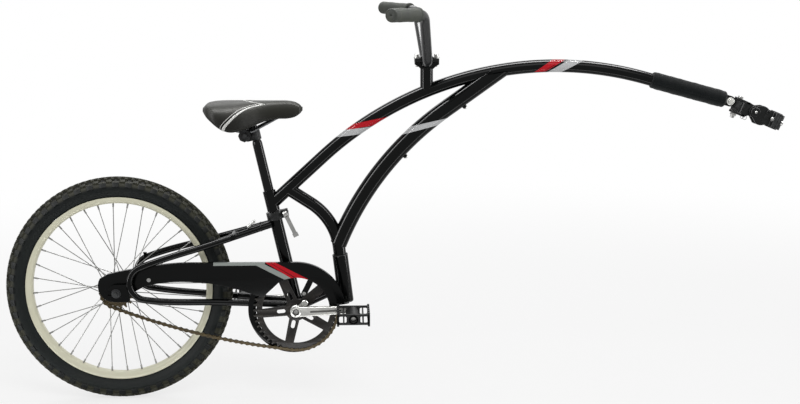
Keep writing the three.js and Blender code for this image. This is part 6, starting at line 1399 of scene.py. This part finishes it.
# Colour of the groove strip: painted shade, darker than the alloy
groove_painted_shade = finish("painted_groove_shade", (60, 60, 58), (32, 32, 31), 0.5, 0.1, 0.5, metal=0.6)
crank_length = 127.0
drive_turn = 41.5
arm_in, arm_out, arm_rounding = 60.5, 71.0, 1.4
boss_rows = [(5.8, 46.8), (12.6, 46.8), (13.5, 47.7), (13.5, 62.6), (12.5, 63.8), (9.3, 63.8), (8.5, 63.0),
             (8.5, 58.8), (5.8, 58.8), (5.8, 46.8)]
eye_rows = [(0, 60.0), (7.2, 60.0), (8.0, 60.8), (8.0, 70.8), (7.2, 71.5), (5.6, 71.5), (5.4, 71.0), (0, 71.0)]
collar_rows = [(7.0, 60.0), (11.5, 60.0), (12.6, 66.0), (12.0, 70.4), (9.4, 71.6), (8.6, 70.8), (8.2, 60.0),
               (7.0, 60.0)]
pedal_axle_rows = [(0, 71.2), (6.4, 71.2, 1), (7.0, 71.8, 1), (7.0, 75.8, 1), (6.4, 76.4, 0.4), (5.4, 76.4),
                   (5.4, 148.0), (0, 148.0)]
drive_pin_rows = [(0, 43.2), (4.1, 43.2), (4.1, 46.9), (6.4, 46.9), (7.0, 47.6), (7.0, 57.0), (6.2, 57.9),
                  (3.6, 57.9), (3.2, 57.0), (0, 57.0)]
crank_bolt_rows = [(0, 60.2), (4.8, 60.2, 1), (5.4, 60.8, 1), (5.4, 64.0, 1), (4.8, 64.6, 0.4), (0, 64.6)]
crank_washer_rows = [(5.9, 59.4), (8.2, 59.4), (8.2, 60.4), (5.9, 60.4), (5.9, 59.4)]
arm_outline = np.concatenate([ring_loop(11.5, 16, math.radians(78), math.radians(204)),
                              ring_loop(8.0, 16, math.radians(-82), math.radians(164), (crank_length, 0))])
for name, side, lift in (("right", -1, 2.0), ("left", 1, 182.0)):
    arm_axes = (heading(lift), heading(lift + 90), across * side)
    arm_frame, eye_frame = (bracket, *arm_axes), (bracket + heading(lift) * crank_length, *arm_axes)
    parts = [turned(boss_rows, arm_frame, 48),
             plate([arm_outline, ring_loop(7.5, 30)], arm_frame, arm_in, arm_out, arm_rounding, 2),
             turned(eye_rows, eye_frame, 40), turned(collar_rows, arm_frame, 48),
             turned(pedal_axle_rows, eye_frame, 36, 6)]
    if side < 0:
        pin_frame = (bracket + drive_reach * heading(drive_turn), *arm_axes)
        reach_frame = (bracket, heading(drive_turn), heading(drive_turn + 90), across * side)
        parts += [turned(drive_pin_rows, pin_frame, 32),
                  prism(box_loop(22.0, 12.0, 2.0) + (13.0, 0), reach_frame, 46.9, 56.5, 1.0)]
    fitted(f"{name}_crank_forged", parts, alloy_look, "cranks", "alloy", f"{name}_crank")
    # Painted shade: a thin dark strip on the arm's face stands for the groove's shadow
    fitted(f"{name}_crank_groove_shade", [prism(box_loop(70.0, 4.4, 2.1) + (66.0, 0), arm_frame, 70.6, 71.2, 0.2)],
           groove_painted_shade, "cranks", "alloy")
    fitted(f"{name}_crank_bolt", [turned(crank_bolt_rows, arm_frame, 36, 6),
                                  turned(crank_washer_rows, arm_frame, 36)], bolt_steel, "cranks",
           "bright_steel")
dress(dark_steel, "bearing_cartridge")
dress(bolt_steel, "crank_spindle")

# Pedals: one-piece black plastic cages with toothed treads, a barrel round the axle, end walls, and an amber
# reflector let into each outer edge.
amber = finish("amber_reflector", (196, 110, 24), (150, 70, 12), 0.22, 0.1, 0.5, fine=700.0, bump=0.6,
               depth=0.0004, coat=0.4)
pedal_length, pedal_high, pedal_half, pedal_wall = 72.0, 12.0, 42.0, 5.0
tooth_count, tooth_rise, tooth_flare = 9, 3.0, 0.8
barrel_rows = [(5.8, -42), (10.2, -42), (11.0, -41.2), (11.0, 41.2), (10.2, 42), (5.8, 42), (5.8, -42)]
wall = [box_loop(pedal_length, 2 * pedal_high, 5.0), box_loop(16.0, 14.0, 3.0, (-23.0, 0)),
        box_loop(16.0, 14.0, 3.0, (23.0, 0)), ring_loop(6.2, 24)]
teeth = []
for i in range(tooth_count):
    start, end = [pedal_half - step * 2 * pedal_half / tooth_count for step in (i, i + 1)]
    if i % 2:
        teeth += [(start, pedal_high), (end, pedal_high)]
    else:
        teeth += [(start - (tooth_flare if i else 0), pedal_high + tooth_rise),
                  (end + (tooth_flare if i < tooth_count - 1 else 0), pedal_high + tooth_rise)]
comb = [np.concatenate([teeth, np.array(teeth)[::-1] * (1, -1)]), box_loop(66.0, 11.0, 3.0)]
rib = [box_loop(76.0, 15.0, 2.0), box_loop(60.0, 7.0, 2.0)]
lens = box_loop(64.0, 9.6, 2.0)
for name, centre in (("right", (-952.577, -118.5, -413.068)), ("left", (-1206.423, 118.5, -421.932))):
    parts = [turned(barrel_rows, side_on(centre), 36)]
    parts += [plate(wall, side_on(centre), low, low + pedal_wall, 0.8)
              for low in (pedal_half - pedal_wall, -pedal_half)]
    parts += [plate(bar, (centre + ahead * end * out, across, upward, ahead), -half, half, edge)
              for bar, out, half, edge in ((comb, 33.5, 2.5, 0.6), (rib, 21.0, 1.6, 0.5)) for end in (-1, 1)]
    fitted(f"{name}_pedal_moulded", parts, moulded_black, f"{name}_pedal", "black_plastic", f"{name}_pedal")
    lenses = [prism(lens, (centre + ahead * end * 34.2, across, upward, ahead * end), -1.5, 1.3, 0.5)
              for end in (-1, 1)]
    fitted(f"{name}_pedal_reflectors", lenses, amber, f"{name}_pedal", "black_plastic")

# Chain guard: a pressed steel plate over the chain's upper run and the ring, with a lip turned in along its
# top, painted black with plain silver and red stripes, and held at the axle by its own eye and a strap.
guard_out, guard_in = -53.5, -52.2
guard_cover, guard_inner = 110.0, 75.0
guard_eye, guard_tail_radius = 8.5, 36.0


def flat_path(knots):
    """A flat curve through its knots, by the same cubic spans as a bent tube."""
    return smooth_path([(*knot, 0) for knot in knots], 8)[:, :2]


guard_top = np.concatenate([
    flat_path([cog_at + (-20, 42), cog_at + (23, 51), cog_at + (124, 65), ring_at + (-180, 110.2),
               ring_at + (-60, 110.0)])[:-1],
    ring_loop(guard_cover, 44, math.radians(94), math.radians(-87), ring_at)])
guard_outline = np.concatenate([
    guard_top, ring_loop(guard_inner, 36, math.radians(7), math.radians(113), ring_at),
    flat_path([ring_at + (-74, 31), ring_at + (-180, 62), cog_at + (72, 16.5), cog_at + (32, -2)]),
    ring_loop(guard_tail_radius, 24, math.radians(298), math.radians(-148), cog_at + (-5, 15))])
lip_line = np.stack([guard_top[:, 0], np.full(len(guard_top), guard_in), guard_top[:, 1]], axis=1)
lip_run = np.gradient(lip_line, axis=0)
lip_run /= np.linalg.norm(lip_run, axis=1, keepdims=True)
lip_inward = np.stack([lip_run[:, 2], 0 * lip_run[:, 0], -lip_run[:, 0]], axis=1)
lip_section = np.array([(0.0, -1.3), (0.0, 9.0), (0.7, 9.3), (1.4, 9.0), (1.4, -1.0), (0.0, -1.3)])
lip = lip_line[:, None] + lip_section[None, :, :1] * lip_inward[:, None] + lip_section[None, :, 1:] * across
lip = np.concatenate([pole(lip[0].mean(axis=0), lip.shape[1]), lip, pole(lip[-1].mean(axis=0), lip.shape[1])])
guard_silver, guard_fine_red = (150, 156, 152), (60, 6, 12)
# Colour, then start, its slope, end, its slope, low and high
guard_bands = (
    (guard_silver, -1262.0, 0.0, -1148.0, 0.0, -313.6, -304.0),
    (guard_silver, -1763.0, -1.9, -1739.5, -1.9, -346.0, -304.0),
    (stripe_red, -1632.8, -1.58, -1705.7, -1.89, -346.0, -304.0),
    (guard_fine_red, -1623.6, -1.58, -1640.7, -1.64, -346.0, -304.0),
)


def guard_stripes(tree, shown):
    """Stripes on the guard's plate: a thin silver band under the top edge that turns down into a slanted bar,
    and two slanted red bars, split by a fine dark red line."""
    parts = side_place(tree)
    return banded(tree, shown, parts[0], parts[2], guard_bands)


guard_look = finish("guard_paint_striped", (3, 4, 4), pattern=guard_stripes, **{**paint_settings, "rough": 0.2})
fitted("chain_guard_pressed", [plate([guard_outline, ring_loop(guard_eye, 30, centre=cog_at)],
                                     side_on((0, 0, 0)), guard_out, guard_in, 0.35), lip],
       guard_look, "rear_frame", "frame_paint", "chain_guard")
dress(satin_black, "guard_strap")
dress(bolt_steel, "guard_screw", "inner_guard_screw")

# Inner guard: a flat steel crescent behind the ring's lower half, painted with the frame and screwed to it by
# one tongue.
inner_start, inner_wide, inner_end = math.radians(63.5), math.radians(190), math.radians(335)
crescent_radius, crescent_last, inner_edge = 108.0, 93.0, 90.5
tongue_half, tongue_screw, tongue_root = 6.5, 40.0, 96.0
taper_turns = np.linspace(inner_wide, inner_end, 60)[1:, None]
taper_reach = crescent_radius + ((crescent_last - crescent_radius) * (taper_turns - inner_wide)
                                 / (inner_end - inner_wide))
tongue_run = np.array([math.cos(inner_start), math.sin(inner_start)])
tongue_side = np.array([-tongue_run[1], tongue_run[0]])
tongue_turn = math.asin(tongue_half / inner_edge)
crescent = np.concatenate([
    ring_loop(crescent_radius, 60, inner_start, inner_wide - inner_start),
    taper_reach * np.concatenate([np.cos(taper_turns), np.sin(taper_turns)], axis=1),
    ring_loop(inner_edge, 110, inner_end, inner_start + tongue_turn - inner_end),
    ring_loop(tongue_half, 16, inner_start + math.pi / 2, math.pi, tongue_run * tongue_screw),
    [tongue_run * tongue_root - tongue_side * tongue_half]])
fitted("inner_guard_pressed", [plate([crescent], side_on(bracket), -39.2, -38.0, 0.3)], paint, "rear_frame",
       "frame_paint", "inner_guard")
